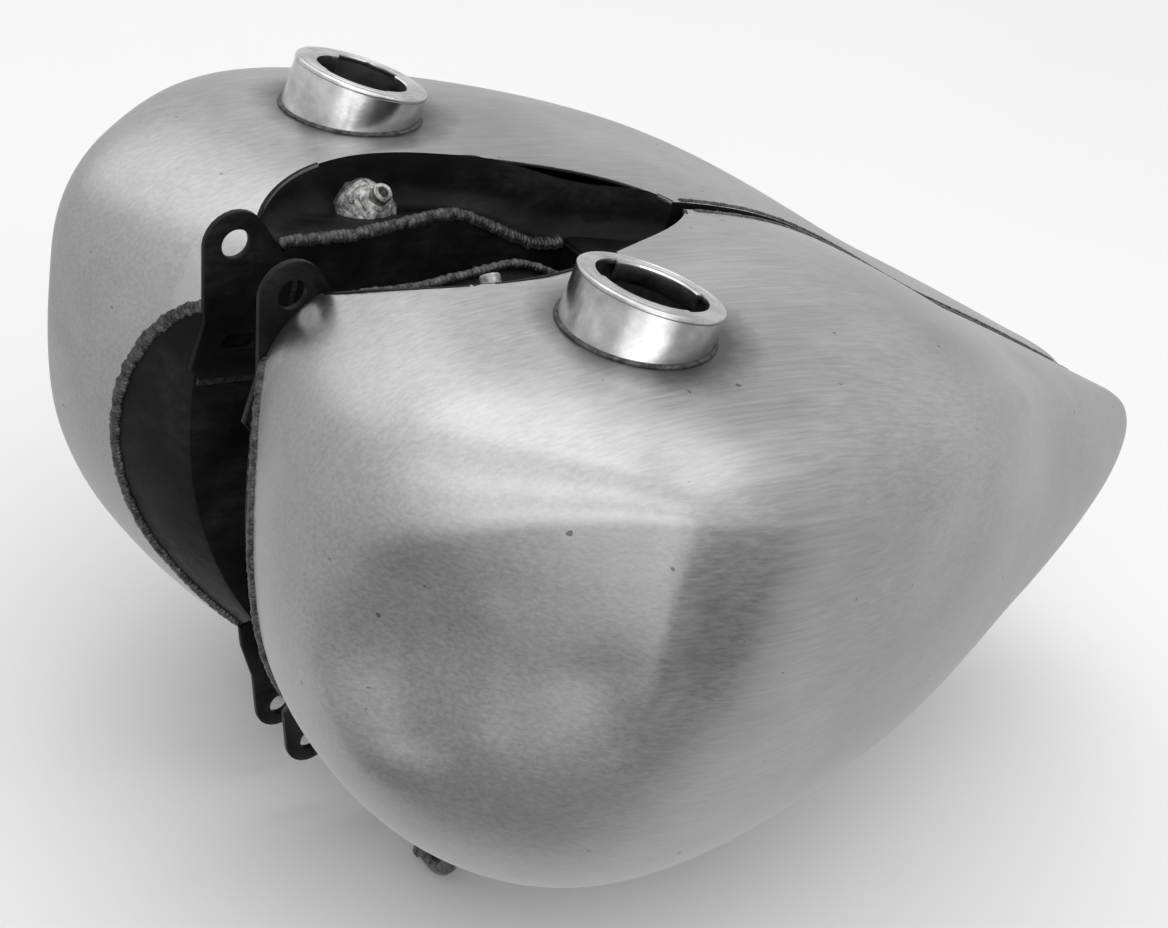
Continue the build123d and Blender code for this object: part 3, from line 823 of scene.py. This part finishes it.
@dataclass
class CuttingSolids:
    """The solids that the left half's sheets are cut from and with, each with its marker."""

    segments: int = 224
    rings: int = 140
    reach: float = 0.060
    roof_steps: int = 24
    lip_length: float = 0.15
    markers: dict[str, Material] = field(default_factory=dict)

    def mark(self, name: str) -> Material:
        """The marker material of one working solid."""
        if name not in self.markers:
            self.markers[name] = bpy.data.materials.new(f"marker_{name}")
        return self.markers[name]

    def body(self) -> Piece:
        """The whole rounded half before any cut: a ball drawn out to the tank's sections."""
        deselect()
        bpy.ops.mesh.primitive_uv_sphere_add(segments=self.segments, ring_count=self.rings, radius=1.0)
        blank = bpy.context.object
        blank.name = blank.data.name = "body_blank"
        for vertex in blank.data.vertices:
            away = vertex.co.normalized()
            share = math.acos(max(-1.0, min(1.0, away.z))) / math.pi
            vertex.co = SHAPE.point(share, math.atan2(away.y, away.x))
        blank.data.materials.append(self.mark("body"))
        return blank

    def inside(self) -> Piece:
        """Everything inside the panels: the open tunnel, its roofed part and the seam gap."""
        tail = SHAPE.nose_x - SHAPE.length - self.reach
        ahead = SHAPE.nose_x + self.reach
        top = SHAPE.crown_z + self.reach
        floor = SHAPE.crown_z - SHAPE.depth - self.reach
        outline = []
        for k in range(self.roof_steps):
            x = CUTS.roof_front_x + (tail - CUTS.roof_front_x) * k / (self.roof_steps - 1)
            crown = SHAPE.crown_z - SHAPE.depth * SHAPE.along(SHAPE.crown, SHAPE.share_at(x))
            outline.append((x, crown - CUTS.roof_drop))
        outline += [(tail, floor), (ahead, floor), (ahead, top), (CUTS.roof_front_x, top)]
        rings = [[Vector((x, y, z)) for x, z in outline] for y in (-SHAPE.half_width, CUTS.panel_y)]
        tunnel = stack_rings("tunnel_solid", rings, self.mark("inside"))
        corners = ((tail, floor), (ahead, floor), (ahead, top), (tail, top))
        walls = [[Vector((x, y, z)) for x, z in corners] for y in (-SHAPE.half_width, CUTS.seam_y)]
        seam = stack_rings("seam_solid", walls, self.mark("inside"))
        cut(tunnel, seam, "UNION")
        remove(seam)
        return tunnel

    def recess(self) -> Piece:
        """The dash recess with its rounded floor."""
        levels = [(CUTS.recess_floor_z, CUTS.recess_radius)]
        for k in range(1, 9):
            turn = math.pi / 2 * k / 8
            rise, inset = 1 - math.cos(turn), 1 - math.sin(turn)
            levels.append((CUTS.recess_floor_z + CUTS.recess_radius * rise, CUTS.recess_radius * inset))
        levels.append((SHAPE.crown_z + self.reach, 0.0))
        rings = [[Vector((x, y, z)) for x, y in CUTS.recess_outline(inset)] for z, inset in levels]
        return stack_rings("recess_solid", rings, self.mark("recess"))

    def lip(self) -> Piece:
        """Elliptic bar that marks out the flared front lip."""
        turns = [2 * math.pi * k / 160 for k in range(160)]
        wide, tall = CUTS.lip_half_width, CUTS.lip_half_height
        oval = [(wide * math.cos(t), CUTS.lip_z + tall * math.sin(t)) for t in turns]
        ends = (SHAPE.nose_x - self.lip_length, SHAPE.nose_x + self.reach)
        rings = [[Vector((x, y, z)) for y, z in oval] for x in ends]
        return stack_rings("lip_solid", rings, self.mark("lip"))

    def peg(self, name: str, foot: Vector, head: Vector, radius: float) -> Piece:
        """A round bar from foot to head, for drilling a hole."""
        axis = (head - foot).normalized()
        across = axis.orthogonal().normalized()
        up = axis.cross(across)
        rings = [circle_points(end, across, up, radius, 96) for end in (foot, head)]
        return stack_rings(name, rings, self.mark("peg"))


# ---------------------------------------------------------------- sub-assemblies


@dataclass(frozen=True)
class Crease:
    """A soft hand-made ridge or hollow that follows a line over the left half's skin."""

    line: tuple[Triple, ...]
    width: float
    height: float

    def lift(self, point: Vector) -> float:
        """How far the crease moves a point outwards, fading with the distance from its line."""
        nearest = 1.0
        for start, end in zip(self.line, self.line[1:]):
            a, b = Vector(start), Vector(end)
            run = b - a
            share = min(max((point - a).dot(run) / run.length_squared, 0.0), 1.0)
            nearest = min(nearest, (point - a - run * share).length)
        return self.height * math.exp(-((nearest / self.width) ** 2))


CREASES = (
    Crease(((-0.222, 0.184, -0.006), (-0.262, 0.163, -0.010), (-0.330, 0.128, -0.028)), 0.011, 0.0018),
    Crease(((-0.330, 0.128, -0.028), (-0.452, 0.068, -0.068), (-0.530, 0.038, -0.096)), 0.010, 0.0011),
    Crease(((-0.235, 0.194, -0.030), (-0.300, 0.166, -0.046), (-0.420, 0.100, -0.082)), 0.014, -0.0014),
    Crease(((-0.200, 0.160, 0.008), (-0.290, 0.128, -0.006), (-0.400, 0.076, -0.042)), 0.014, -0.0013),
    Crease(((-0.068, 0.190, 0.005), (-0.071, 0.193, 0.004)), 0.010, -0.0010),
    Crease(((-0.070, 0.198, -0.010), (-0.069, 0.203, -0.050), (-0.074, 0.203, -0.095)), 0.008, 0.0012),
    Crease(((-0.088, 0.209, -0.035), (-0.092, 0.210, -0.085)), 0.012, -0.0015),
    Crease(((-0.054, 0.193, -0.086), (-0.067, 0.197, -0.114)), 0.014, -0.0016),
    Crease(((0.012, 0.152, -0.060), (0.008, 0.152, -0.100), (-0.003, 0.153, -0.130)), 0.014, -0.0016),
    Crease(((-0.012, 0.169, -0.066), (-0.023, 0.169, -0.125)), 0.011, 0.0010),
    Crease(((0.012, 0.100, -0.012), (-0.020, 0.150, -0.004), (-0.048, 0.182, 0.000)), 0.012, 0.0009),
    Crease(((-0.150, 0.213, -0.050), (-0.240, 0.196, -0.060)), 0.026, -0.0010),
    Crease(((-0.095, 0.060, 0.012), (-0.120, 0.050, 0.016)), 0.014, -0.0006),
)


JOINT_FRONT, JOINT_REAR = -0.010, -0.205
PAN_WELD_FRONT, PAN_WELD_REAR = -0.024, -0.171
SEAM_FRONT, SEAM_REAR = -0.219, -0.529
BEAD_STEPS = 60


def joint_wave(x: float) -> float:
    """How far the pan's inner edge rises at x, where it was trimmed by hand to meet the panel."""
    heights = (0.0, 0.002, 0.003, 0.007, 0.010, 0.002, -0.007, -0.006, 0.0)
    share = (JOINT_FRONT - x) / (JOINT_FRONT - JOINT_REAR)
    return TankShape.along(heights, share) if 0.0 < share < 1.0 else 0.0


def slice_along(piece: Piece, step: float = 0.004) -> None:
    """Divide a sheet across its length along the hand-trimmed joint, so that its edge can follow a curve."""
    mesh = bmesh.new()
    mesh.from_mesh(piece.data)
    x = JOINT_FRONT
    while x > JOINT_REAR:
        whole = mesh.verts[:] + mesh.edges[:] + mesh.faces[:]
        bmesh.ops.bisect_plane(mesh, geom=whole, plane_co=(x, 0.0, 0.0), plane_no=(1.0, 0.0, 0.0))
        x -= step
    mesh.to_mesh(piece.data)
    mesh.free()


def trim_by_hand(piece: Piece, floor: float, reach: float) -> None:
    """Move the top inner edge of a sheet or bead up and down along the hand-trimmed joint.

    Args:
        piece: the piece to shape.
        floor: the height at which the movement has died out.
        reach: how far outboard of the panel it has died out.
    """
    for vertex in piece.data.vertices:
        away = (abs(vertex.co.y) - CUTS.panel_y) / reach
        down = (CUTS.recess_floor_z - vertex.co.z) / (CUTS.recess_floor_z - floor)
        fade = (1.0 - min(max(away, 0.0), 1.0)) * (1.0 - min(max(down, 0.0), 1.0))
        vertex.co.z += joint_wave(vertex.co.x) * fade * fade * (3 - 2 * fade)


@dataclass
class PressedSheets:
    """Skin, inner panel, recess pan and flared lip, cut from the working solids."""

    sheet: float = 0.0015
    edge: float = 0.0005
    neck_hole: float = 0.0312
    elbow: Triple = (-0.095, 0.088, 0.004)
    tap: Triple = (-0.215, 0.092, 0.015)

    def thicken(self, piece: Piece, degrees: float) -> None:
        """Give an open sheet its thickness inwards, soften its edges and shade it."""
        modify(piece, "SOLIDIFY", thickness=self.sheet, offset=-1.0, use_even_offset=True)
        soften(piece, self.edge, 55)
        smooth(piece, degrees)

    def build(self, solids: CuttingSolids) -> None:
        """Cut, thicken and seat all the sheets of both halves."""
        body, inside, recess, lip = solids.body(), solids.inside(), solids.recess(), solids.lip()
        rim = CUTS.neck_rim
        foot, head = rim - CUTS.neck_axis * 0.05, rim + CUTS.neck_axis * 0.03
        neck = solids.peg("neck_peg", foot, head, self.neck_hole)

        skin = duplicate(body, "tank_skin_left")
        for tool in (inside, recess, lip, neck):
            cut(skin, tool)
        for x, y, radius in (self.elbow, self.tap):
            low = SHAPE.bottom(x, y)
            peg = solids.peg("belly_peg", Vector((x, y, low - 0.02)), Vector((x, y, low + 0.02)), radius)
            cut(skin, peg)
            remove(peg)
        keep_marked(skin, solids.mark("body"))
        right_skin = mirrored(skin, "tank_skin_right")
        normals = [vertex.normal.copy() for vertex in skin.data.vertices]
        for vertex, normal in zip(skin.data.vertices, normals):
            vertex.co += normal * sum(crease.lift(vertex.co) for crease in CREASES)
        for side, sheet in ((Side.LEFT, skin), (Side.RIGHT, right_skin)):
            self.thicken(sheet, 40)
            seat(sheet, side, Finish.BARE_STEEL, ["skin"])

        front = duplicate(body, "front_lip_left")
        cut(front, lip, "INTERSECT")
        cut(front, inside)
        keep_marked(front, solids.mark("body"))
        self.thicken(front, 40)
        make_pair(front, Finish.DARK_PANEL, [])

        panel = duplicate(body, "tunnel_panel_left")
        cut(panel, recess)
        cut(panel, inside, "INTERSECT")
        keep_marked(panel, solids.mark("inside"))
        panel.data.flip_normals()
        slice_along(panel)
        trim_by_hand(panel, CUTS.recess_floor_z - 0.022, 0.004)
        self.thicken(panel, 30)
        make_pair(panel, Finish.DARK_PANEL, ["inner_panel"])

        pan = duplicate(recess, "dash_pan_left")
        cut(pan, body, "INTERSECT")
        cut(pan, inside)
        keep_marked(pan, solids.mark("recess"))
        pan.data.flip_normals()
        slice_along(pan)
        trim_by_hand(pan, CUTS.recess_floor_z - 0.010, 0.030)
        self.thicken(pan, 40)
        make_pair(pan, Finish.DARK_PANEL, ["recess_pan"])
        remove(body, inside, recess, lip, neck)


@dataclass
class WeldBead:
    """A run of overlapping weld ripples along a path.

    Args:
        name: piece name without the side.
        path: centre line on the left half.
        normals: outward direction at each point.
        width: width of the bead.
        height: height of the bead.
        pitch: distance between ripples.
        node: the frame's node that it stands for.
        seed: start of the small irregularities.
        lean: how far each ripple tips up out of the surface.
    """

    name: str
    path: list[Vector]
    normals: list[Vector]
    width: float
    height: float
    pitch: float
    node: str
    seed: int
    lean: float = 0.55

    def stations(self) -> list[tuple[Vector, Vector, Vector]]:
        """Point, direction and normal at every ripple."""
        lengths = [0.0]
        for a, b in zip(self.path, self.path[1:]):
            lengths.append(lengths[-1] + (b - a).length)
        count = max(2, int(lengths[-1] / self.pitch))
        found = []
        k = 0
        for step in range(count + 1):
            place = lengths[-1] * step / count
            while k < len(self.path) - 2 and lengths[k + 1] < place:
                k += 1
            u = (place - lengths[k]) / max(lengths[k + 1] - lengths[k], 1e-9)
            point = self.path[k].lerp(self.path[k + 1], u)
            normal = self.normals[k].lerp(self.normals[k + 1], u).normalized()
            found.append((point, (self.path[k + 1] - self.path[k]).normalized(), normal))
        return found

    def build(self) -> None:
        """Model one ripple, lay copies along the path and join them, on both halves."""
        chance = random.Random(self.seed)
        deselect()
        bpy.ops.mesh.primitive_uv_sphere_add(segments=14, ring_count=8, radius=1.0)
        ripple = bpy.context.object
        copies = []
        for index, (point, forward, normal) in enumerate(self.stations()):
            across = normal.cross(forward).normalized()
            along = (forward + normal * self.lean).normalized()
            up = across.cross(along) * -1.0
            copy = duplicate(ripple, f"ripple_{index}")
            spread = self.width / 2 * chance.uniform(0.85, 1.12)
            rise = self.height * chance.uniform(0.8, 1.15)
            slide = across * (self.width * chance.uniform(-0.06, 0.06))
            turn = Matrix((along * self.pitch * 1.15, across * spread, up * rise)).transposed().to_4x4()
            copy.data.transform(Matrix.Translation(point + slide) @ turn)
            copies.append(copy)
        remove(ripple)
        pick(*copies)
        bpy.ops.object.join()
        bead = bpy.context.object
        bead.name = bead.data.name = f"{self.name}_left"
        pick(bead)
        bpy.ops.object.mode_set(mode="EDIT")
        bpy.ops.mesh.select_all(action="SELECT")
        bpy.ops.mesh.normals_make_consistent(inside=False)
        bpy.ops.object.mode_set(mode="OBJECT")
        smooth(bead, 60)
        make_pair(bead, Finish.DARK_WELD, [self.node])


def slope(surface: Callable[[float], float], at: float, step: float = 0.001) -> float:
    """Slope of a surface's profile at a place, from a step either side."""
    return (surface(at + step) - surface(at - step)) / (2 * step)


def lip_bead() -> WeldBead:
    """The weld round the flared front lip."""
    path, normals = [], []
    start = math.acos(CUTS.panel_y / CUTS.lip_half_width)
    for k in range(BEAD_STEPS + 1):
        turn = start - 2 * start * k / BEAD_STEPS
        y = CUTS.lip_half_width * math.cos(turn)
        z = CUTS.lip_z + CUTS.lip_half_height * math.sin(turn)
        x = SHAPE.front(y, z)
        slope_y = slope(lambda at: SHAPE.front(at, z), y)
        slope_z = slope(lambda at: SHAPE.front(y, at), z)
        path.append(Vector((x, y, z)))
        normals.append(Vector((1.0, -slope_y, -slope_z)).normalized())
    return WeldBead("lip_weld", path, normals, 0.0062, 0.0022, 0.0021, "lip_bead", seed=3)


def seam_bead() -> WeldBead:
    """The weld along the top seam behind the recess."""
    path, normals = [], []
    y = CUTS.seam_y + 0.0022
    for k in range(BEAD_STEPS + 1):
        x = SEAM_FRONT - (SEAM_FRONT - SEAM_REAR) * k / BEAD_STEPS
        z = SHAPE.top(x, y)
        slope_x = slope(lambda at: SHAPE.top(at, y), x)
        path.append(Vector((x, y, z - 0.0006)))
        normals.append(Vector((-slope_x, 0.0, 1.0)).normalized())
    return WeldBead("seam_weld", path, normals, 0.0034, 0.0011, 0.0021, "seam_bead", seed=5)


def recess_bead() -> WeldBead:
    """The weld where the pan meets the top of the inner panel."""
    path, normals = [], []
    for k in range(BEAD_STEPS + 1):
        x = PAN_WELD_FRONT - (PAN_WELD_FRONT - PAN_WELD_REAR) * k / BEAD_STEPS
        path.append(Vector((x, CUTS.panel_y + 0.0008, CUTS.recess_floor_z + 0.0002 + joint_wave(x))))
        normals.append(Vector((0.0, -0.55, 0.83)).normalized())
    return WeldBead("pan_weld", path, normals, 0.0060, 0.0024, 0.0021, "recess_bead", seed=7)


@dataclass
class FillerNeck:
    """Neck tube with its cam ring on top and the dark braze line round its foot."""

    radius: float = 0.031
    foot_radius: float = 0.0322
    braze_radius: float = 0.0318
    braze_wide: float = 0.0012
    braze_tall: float = 0.0013
    bore: float = 0.026
    depth: float = 0.034
    plate: float = 0.0024
    plate_edge: float = 0.00025
    opening: float = 0.0213
    lip_depth: float = 0.0084
    cut_radius: float = 0.0238
    cut_inner: float = 0.010
    cut_angle: float = math.radians(78)
    cut_turn: float = math.radians(50)
    count: int = 144

    def turned(self, name: str, profile: Sequence[tuple[float, float]]) -> Piece:
        """Turn a closed profile of radius and height about the neck's axis.

        Args:
            name: the piece's name.
            profile: radius and height above the rim, in order round the section.

        Returns:
            A closed ring.
        """
        axis, rim = CUTS.neck_axis, CUTS.neck_rim
        across = Vector((axis.z, 0.0, -axis.x))
        up = axis.cross(across)
        rings = [circle_points(rim + axis * h, across, up, r, self.count) for r, h in profile]
        return closed_ring(name, rings)

    def build(self, solids: CuttingSolids) -> None:
        """Turn the neck and the ring, mill the cam cut-outs and lay the braze."""
        r, f, b, p = self.radius, self.foot_radius, self.bore, self.plate
        steps = (0.0, 0.1, 0.25, 0.45, 0.7, 1.0)
        flare = [(f - (f - r) * t**0.6, -self.depth + (self.depth - p) * t) for t in steps]
        tube = self.turned("neck_tube_left", [(b, -self.depth), *flare, (b, -p)])
        smooth(tube, 40)
        make_pair(tube, Finish.NECK_STEEL, ["filler_neck"])

        lip = self.opening
        profile = [
            (r, -p), (r + 0.0002, -p + 0.0004), (r + 0.0003, -0.0014),
            (r + 0.0001, -0.0007), (r - 0.0005, -0.0002), (r - 0.0012, 0.0),
            (0.0282, 0.0), (0.0280, -0.0002), (0.0277, -0.0002), (0.0275, 0.0),
            (0.0254, 0.0), (0.0253, -0.00012), (0.0251, -0.00012), (0.0250, 0.0),
            (lip + 0.0016, 0.0), (lip + 0.0007, -0.0002), (lip + 0.0001, -0.0008), (lip, -0.0016),
            (lip, -self.lip_depth), (lip + 0.0015, -self.lip_depth), (lip + 0.0015, -p),
        ]
        ring = self.turned("cam_plate_left", profile)
        axis, rim = CUTS.neck_axis, CUTS.neck_rim
        across = Vector((axis.z, 0.0, -axis.x))
        up = axis.cross(across) * -1.0
        for middle in (self.cut_turn, self.cut_turn + math.pi):
            turns = [middle + self.cut_angle * (k / 16 - 0.5) for k in range(17)]
            rings = []
            for height in (-0.012, 0.004):
                centre = rim + axis * height
                arc = [(self.cut_radius, t) for t in turns] + [(self.cut_inner, t) for t in reversed(turns)]
                flat = [(far * math.cos(t), far * math.sin(t)) for far, t in arc]
                rings.append([centre + across * wide + up * tall for wide, tall in flat])
            wedge = stack_rings("cam_cutter", rings, solids.mark("peg"))
            cut(ring, wedge)
            remove(wedge)
        soften(ring, self.plate_edge, 50)
        smooth(ring, 30)
        make_pair(ring, Finish.NECK_STEEL, ["cam_ring"])
        self.braze()

    def braze(self) -> None:
        """A thin dark fillet that follows the skin round the neck's foot."""
        axis, rim = CUTS.neck_axis, CUTS.neck_rim
        across = Vector((axis.z, 0.0, -axis.x))
        up = axis.cross(across)
        sections = []
        for k in range(self.count):
            turn = 2 * math.pi * k / self.count
            away = across * math.cos(turn) + up * math.sin(turn)
            foot = rim + away * self.braze_radius
            height = 0.0
            for _ in range(4):
                point = foot + axis * height
                height += (SHAPE.top(point.x, point.y) - point.z) / axis.z
            root = foot + axis * height
            turns = [2 * math.pi * j / 10 for j in range(10)]
            wide, tall = self.braze_wide, self.braze_tall
            sections.append([root + away * (wide * math.cos(t)) + axis * (tall * math.sin(t)) for t in turns])
        braze = closed_ring("neck_solder_left", sections)
        smooth(braze, 60)
        make_pair(braze, Finish.DARK_WELD, ["neck_braze"])


@dataclass
class SmallMetalwork:
    """Ears, tabs, brackets, pipes and bungs: frame shapes with softened edges."""

    edge: float = 0.0004
    plates: tuple[str, ...] = ("front_ear", "lower_tab", "rear_bracket")
    pipes: tuple[str, ...] = ("balance_spigot", "crossover_elbow", "fuel_tap_bung")

    def softened(self, node: str, name: str, width: float) -> Piece:
        """Copy a frame node, merge it and bevel its edges."""
        piece = duplicate(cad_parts[node], name)
        piece.data.materials.clear()
        tidy_mesh(piece)
        modify(piece, "DECIMATE", decimate_type="DISSOLVE", angle_limit=math.radians(2))
        soften(piece, width, 40)
        smooth(piece, 35)
        return piece

    def build(self) -> None:
        """Build the plates and pipes of both halves."""
        for base in self.plates:
            plate = self.softened(f"{base}_left", f"{base}_plate_left", self.edge)
            make_pair(plate, Finish.DARK_PANEL, [base])
        for base in self.pipes:
            finish = Finish.DARK_WELD if base == "crossover_elbow" else Finish.DARK_PANEL
            pipe = self.softened(f"{base}_left", f"{base}_pipe_left", self.edge / 2)
            make_pair(pipe, finish, [base])


@dataclass
class VentFitting:
    """Drilled bung in the recess and the blob of weld that holds it."""

    x: float = -0.081
    y: float = 0.050
    z: float = 0.001
    tilt: float = math.radians(50)
    body_radius: float = 0.008
    nipple_radius: float = 0.0045
    bore: float = 0.0024
    blob_radius: float = 0.0142
    blob_depth: float = 0.0066

    def build(self) -> None:
        """Turn the bung and heap the weld round it."""
        axis = Vector((0.0, -math.cos(self.tilt), math.sin(self.tilt)))
        across = Vector((1.0, 0.0, 0.0))
        up = axis.cross(across)
        seat_point = Vector((self.x, self.y, self.z))
        profile = [
            (self.bore, -0.009), (self.body_radius, -0.009),
            (self.body_radius, 0.0052), (self.body_radius - 0.0008, 0.006),
            (self.nipple_radius + 0.0006, 0.0062), (self.nipple_radius, 0.0068), (self.nipple_radius, 0.0122),
            (self.nipple_radius - 0.0007, 0.013), (self.bore + 0.0004, 0.013), (self.bore, 0.0126),
        ]
        rings = [circle_points(seat_point + axis * h, across, up, r, 48) for r, h in profile]
        bung = closed_ring("vent_nipple_left", rings)
        smooth(bung, 40)
        make_pair(bung, Finish.WELD_METAL, ["vent_bung"])

        deselect()
        centre = seat_point - axis * self.blob_depth
        bpy.ops.mesh.primitive_ico_sphere_add(subdivisions=6, radius=self.blob_radius, location=centre)
        blob = bpy.context.object
        blob.name = blob.data.name = "vent_blob_left"
        blob.data.transform(blob.matrix_world)
        blob.matrix_world = Matrix.Identity(4)
        for vertex in blob.data.vertices:
            away = (vertex.co - centre).normalized()
            swell = noise.noise(vertex.co * 330.0) * 0.0007 + noise.noise(vertex.co * 120.0) * 0.0011
            vertex.co += away * swell
        smooth(blob, 80)
        make_pair(blob, Finish.WELD_METAL, ["vent_weld"])


@dataclass
class Studio:
    """Pale floor, soft lights and the camera."""

    floor_z: float = -0.2765
    camera_at: Vector = field(default_factory=lambda: Vector((0.4417, 0.6952, 0.3611)))
    right: Vector = field(default_factory=lambda: Vector((-0.7894, 0.5739, 0.2178)))
    up: Vector = field(default_factory=lambda: Vector((-0.1165, -0.4884, 0.8648)))
    lens: float = 68.2
    base_light: float = 0.74
    darkest: float = 0.04
    windows: tuple[tuple[Triple, float, float, float], ...] = (
        ((0.37, 0.44, 0.82), 0.64, 0.95, 0.75),
        ((0.50, 0.85, 0.20), 0.72, 0.96, 0.75),
        ((0.29, 0.89, -0.34), 0.87, 0.985, 0.75),
        ((0.12, -0.70, 0.71), 0.80, 0.97, 0.65),
        ((-0.29, 0.80, -0.53), 0.92, 0.99, -0.40),
        ((0.17, 0.47, -0.87), 0.78, 0.97, -0.35),
    )

    def area(self, name: str, at: Triple, aim: Triple, size: tuple[float, float], power: float) -> None:
        """Hang a soft rectangular light.

        Args:
            name: the light's name.
            at: where it hangs.
            aim: the point it faces.
            size: its width and height.
            power: its power in watts.
        """
        data = bpy.data.lights.new(name, "AREA")
        data.shape = "RECTANGLE"
        data.size, data.size_y = size
        data.energy = power
        lamp = bpy.data.objects.new(name, data)
        lamp.location = at
        lamp.rotation_euler = (Vector(aim) - Vector(at)).to_track_quat("-Z", "Y").to_euler()
        bpy.context.scene.collection.objects.link(lamp)

    def sky(self) -> None:
        """Pale surroundings, brighter overhead and in a front window, darker low on the near side."""
        world = bpy.data.worlds.new("studio_world")
        bpy.context.scene.world = world
        world.use_nodes = True
        bench = NodeBench(world)
        direction = bench.node("ShaderNodeTexCoord").outputs["Generated"]
        level = None
        for toward, start, end, gain in self.windows:
            dot = bench.node("ShaderNodeVectorMath", operation="DOT_PRODUCT")
            dot.inputs[1].default_value = Vector(toward).normalized()
            bench.link(direction, dot.inputs[0])
            glow = bench.spread(dot.outputs["Value"], start, end, 0.0, gain, "SMOOTHERSTEP")
            level = bench.together("ADD", glow, self.base_light if level is None else level)
        level = bench.together("MAXIMUM", level, self.darkest)
        background = world.node_tree.nodes["Background"]
        background.inputs["Color"].default_value = (1.0, 1.0, 1.0, 1.0)
        bench.link(level, background.inputs["Strength"])

    def build(self) -> None:
        """Set the floor, the light and the camera."""
        deselect()
        bpy.ops.mesh.primitive_plane_add(size=40.0, location=(0.0, 0.0, self.floor_z))
        floor = bpy.context.object
        floor.name = floor.data.name = "studio_floor"
        bench = NodeBench.fresh("pale_floor")
        shade = bench.noise(bench.place(), 2.0, 2.0, 0.5)
        colour = bench.blend(shade, (0.74, 0.74, 0.74), (0.77, 0.77, 0.77))
        rough = bench.spread(shade, 0.0, 1.0, 0.85, 0.95)
        floor.data.materials.append(bench.metal(0.0, colour, rough, bench.relief(shade, 0.0001)))
        floor.visible_glossy = False
        self.area("overhead", (-0.35, -0.1, 1.4), (-0.25, 0.0, 0.0), (1.5, 1.3), 6.0)
        self.sky()
        data = bpy.data.cameras.new("studio_camera")
        data.lens = self.lens
        data.sensor_width = 36.0
        data.sensor_fit = "HORIZONTAL"
        data.clip_start = 0.01
        camera = bpy.data.objects.new("studio_camera", data)
        bpy.context.scene.collection.objects.link(camera)
        back = self.right.cross(self.up).normalized()
        turn = Matrix((self.right, self.up, back)).transposed().to_4x4()
        camera.matrix_world = Matrix.Translation(self.camera_at) @ turn
        bpy.context.scene.camera = camera
        bpy.context.scene.view_settings.view_transform = "Standard"


def main() -> None:
    """Build every sub-assembly in order."""
    logging.basicConfig(level=logging.INFO, format="%(name)s: %(message)s")
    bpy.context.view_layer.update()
    solids = CuttingSolids()
    PressedSheets().build(solids)
    for bead in (lip_bead(), seam_bead(), recess_bead()):
        bead.build()
    FillerNeck().build(solids)
    SmallMetalwork().build()
    VentFitting().build()
    for side in Side:
        SHELF.dress(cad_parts[f"ear_weld_{side.tag}"], Finish.DARK_WELD)
    Studio().build()


if __name__ == "__main__":
    main()
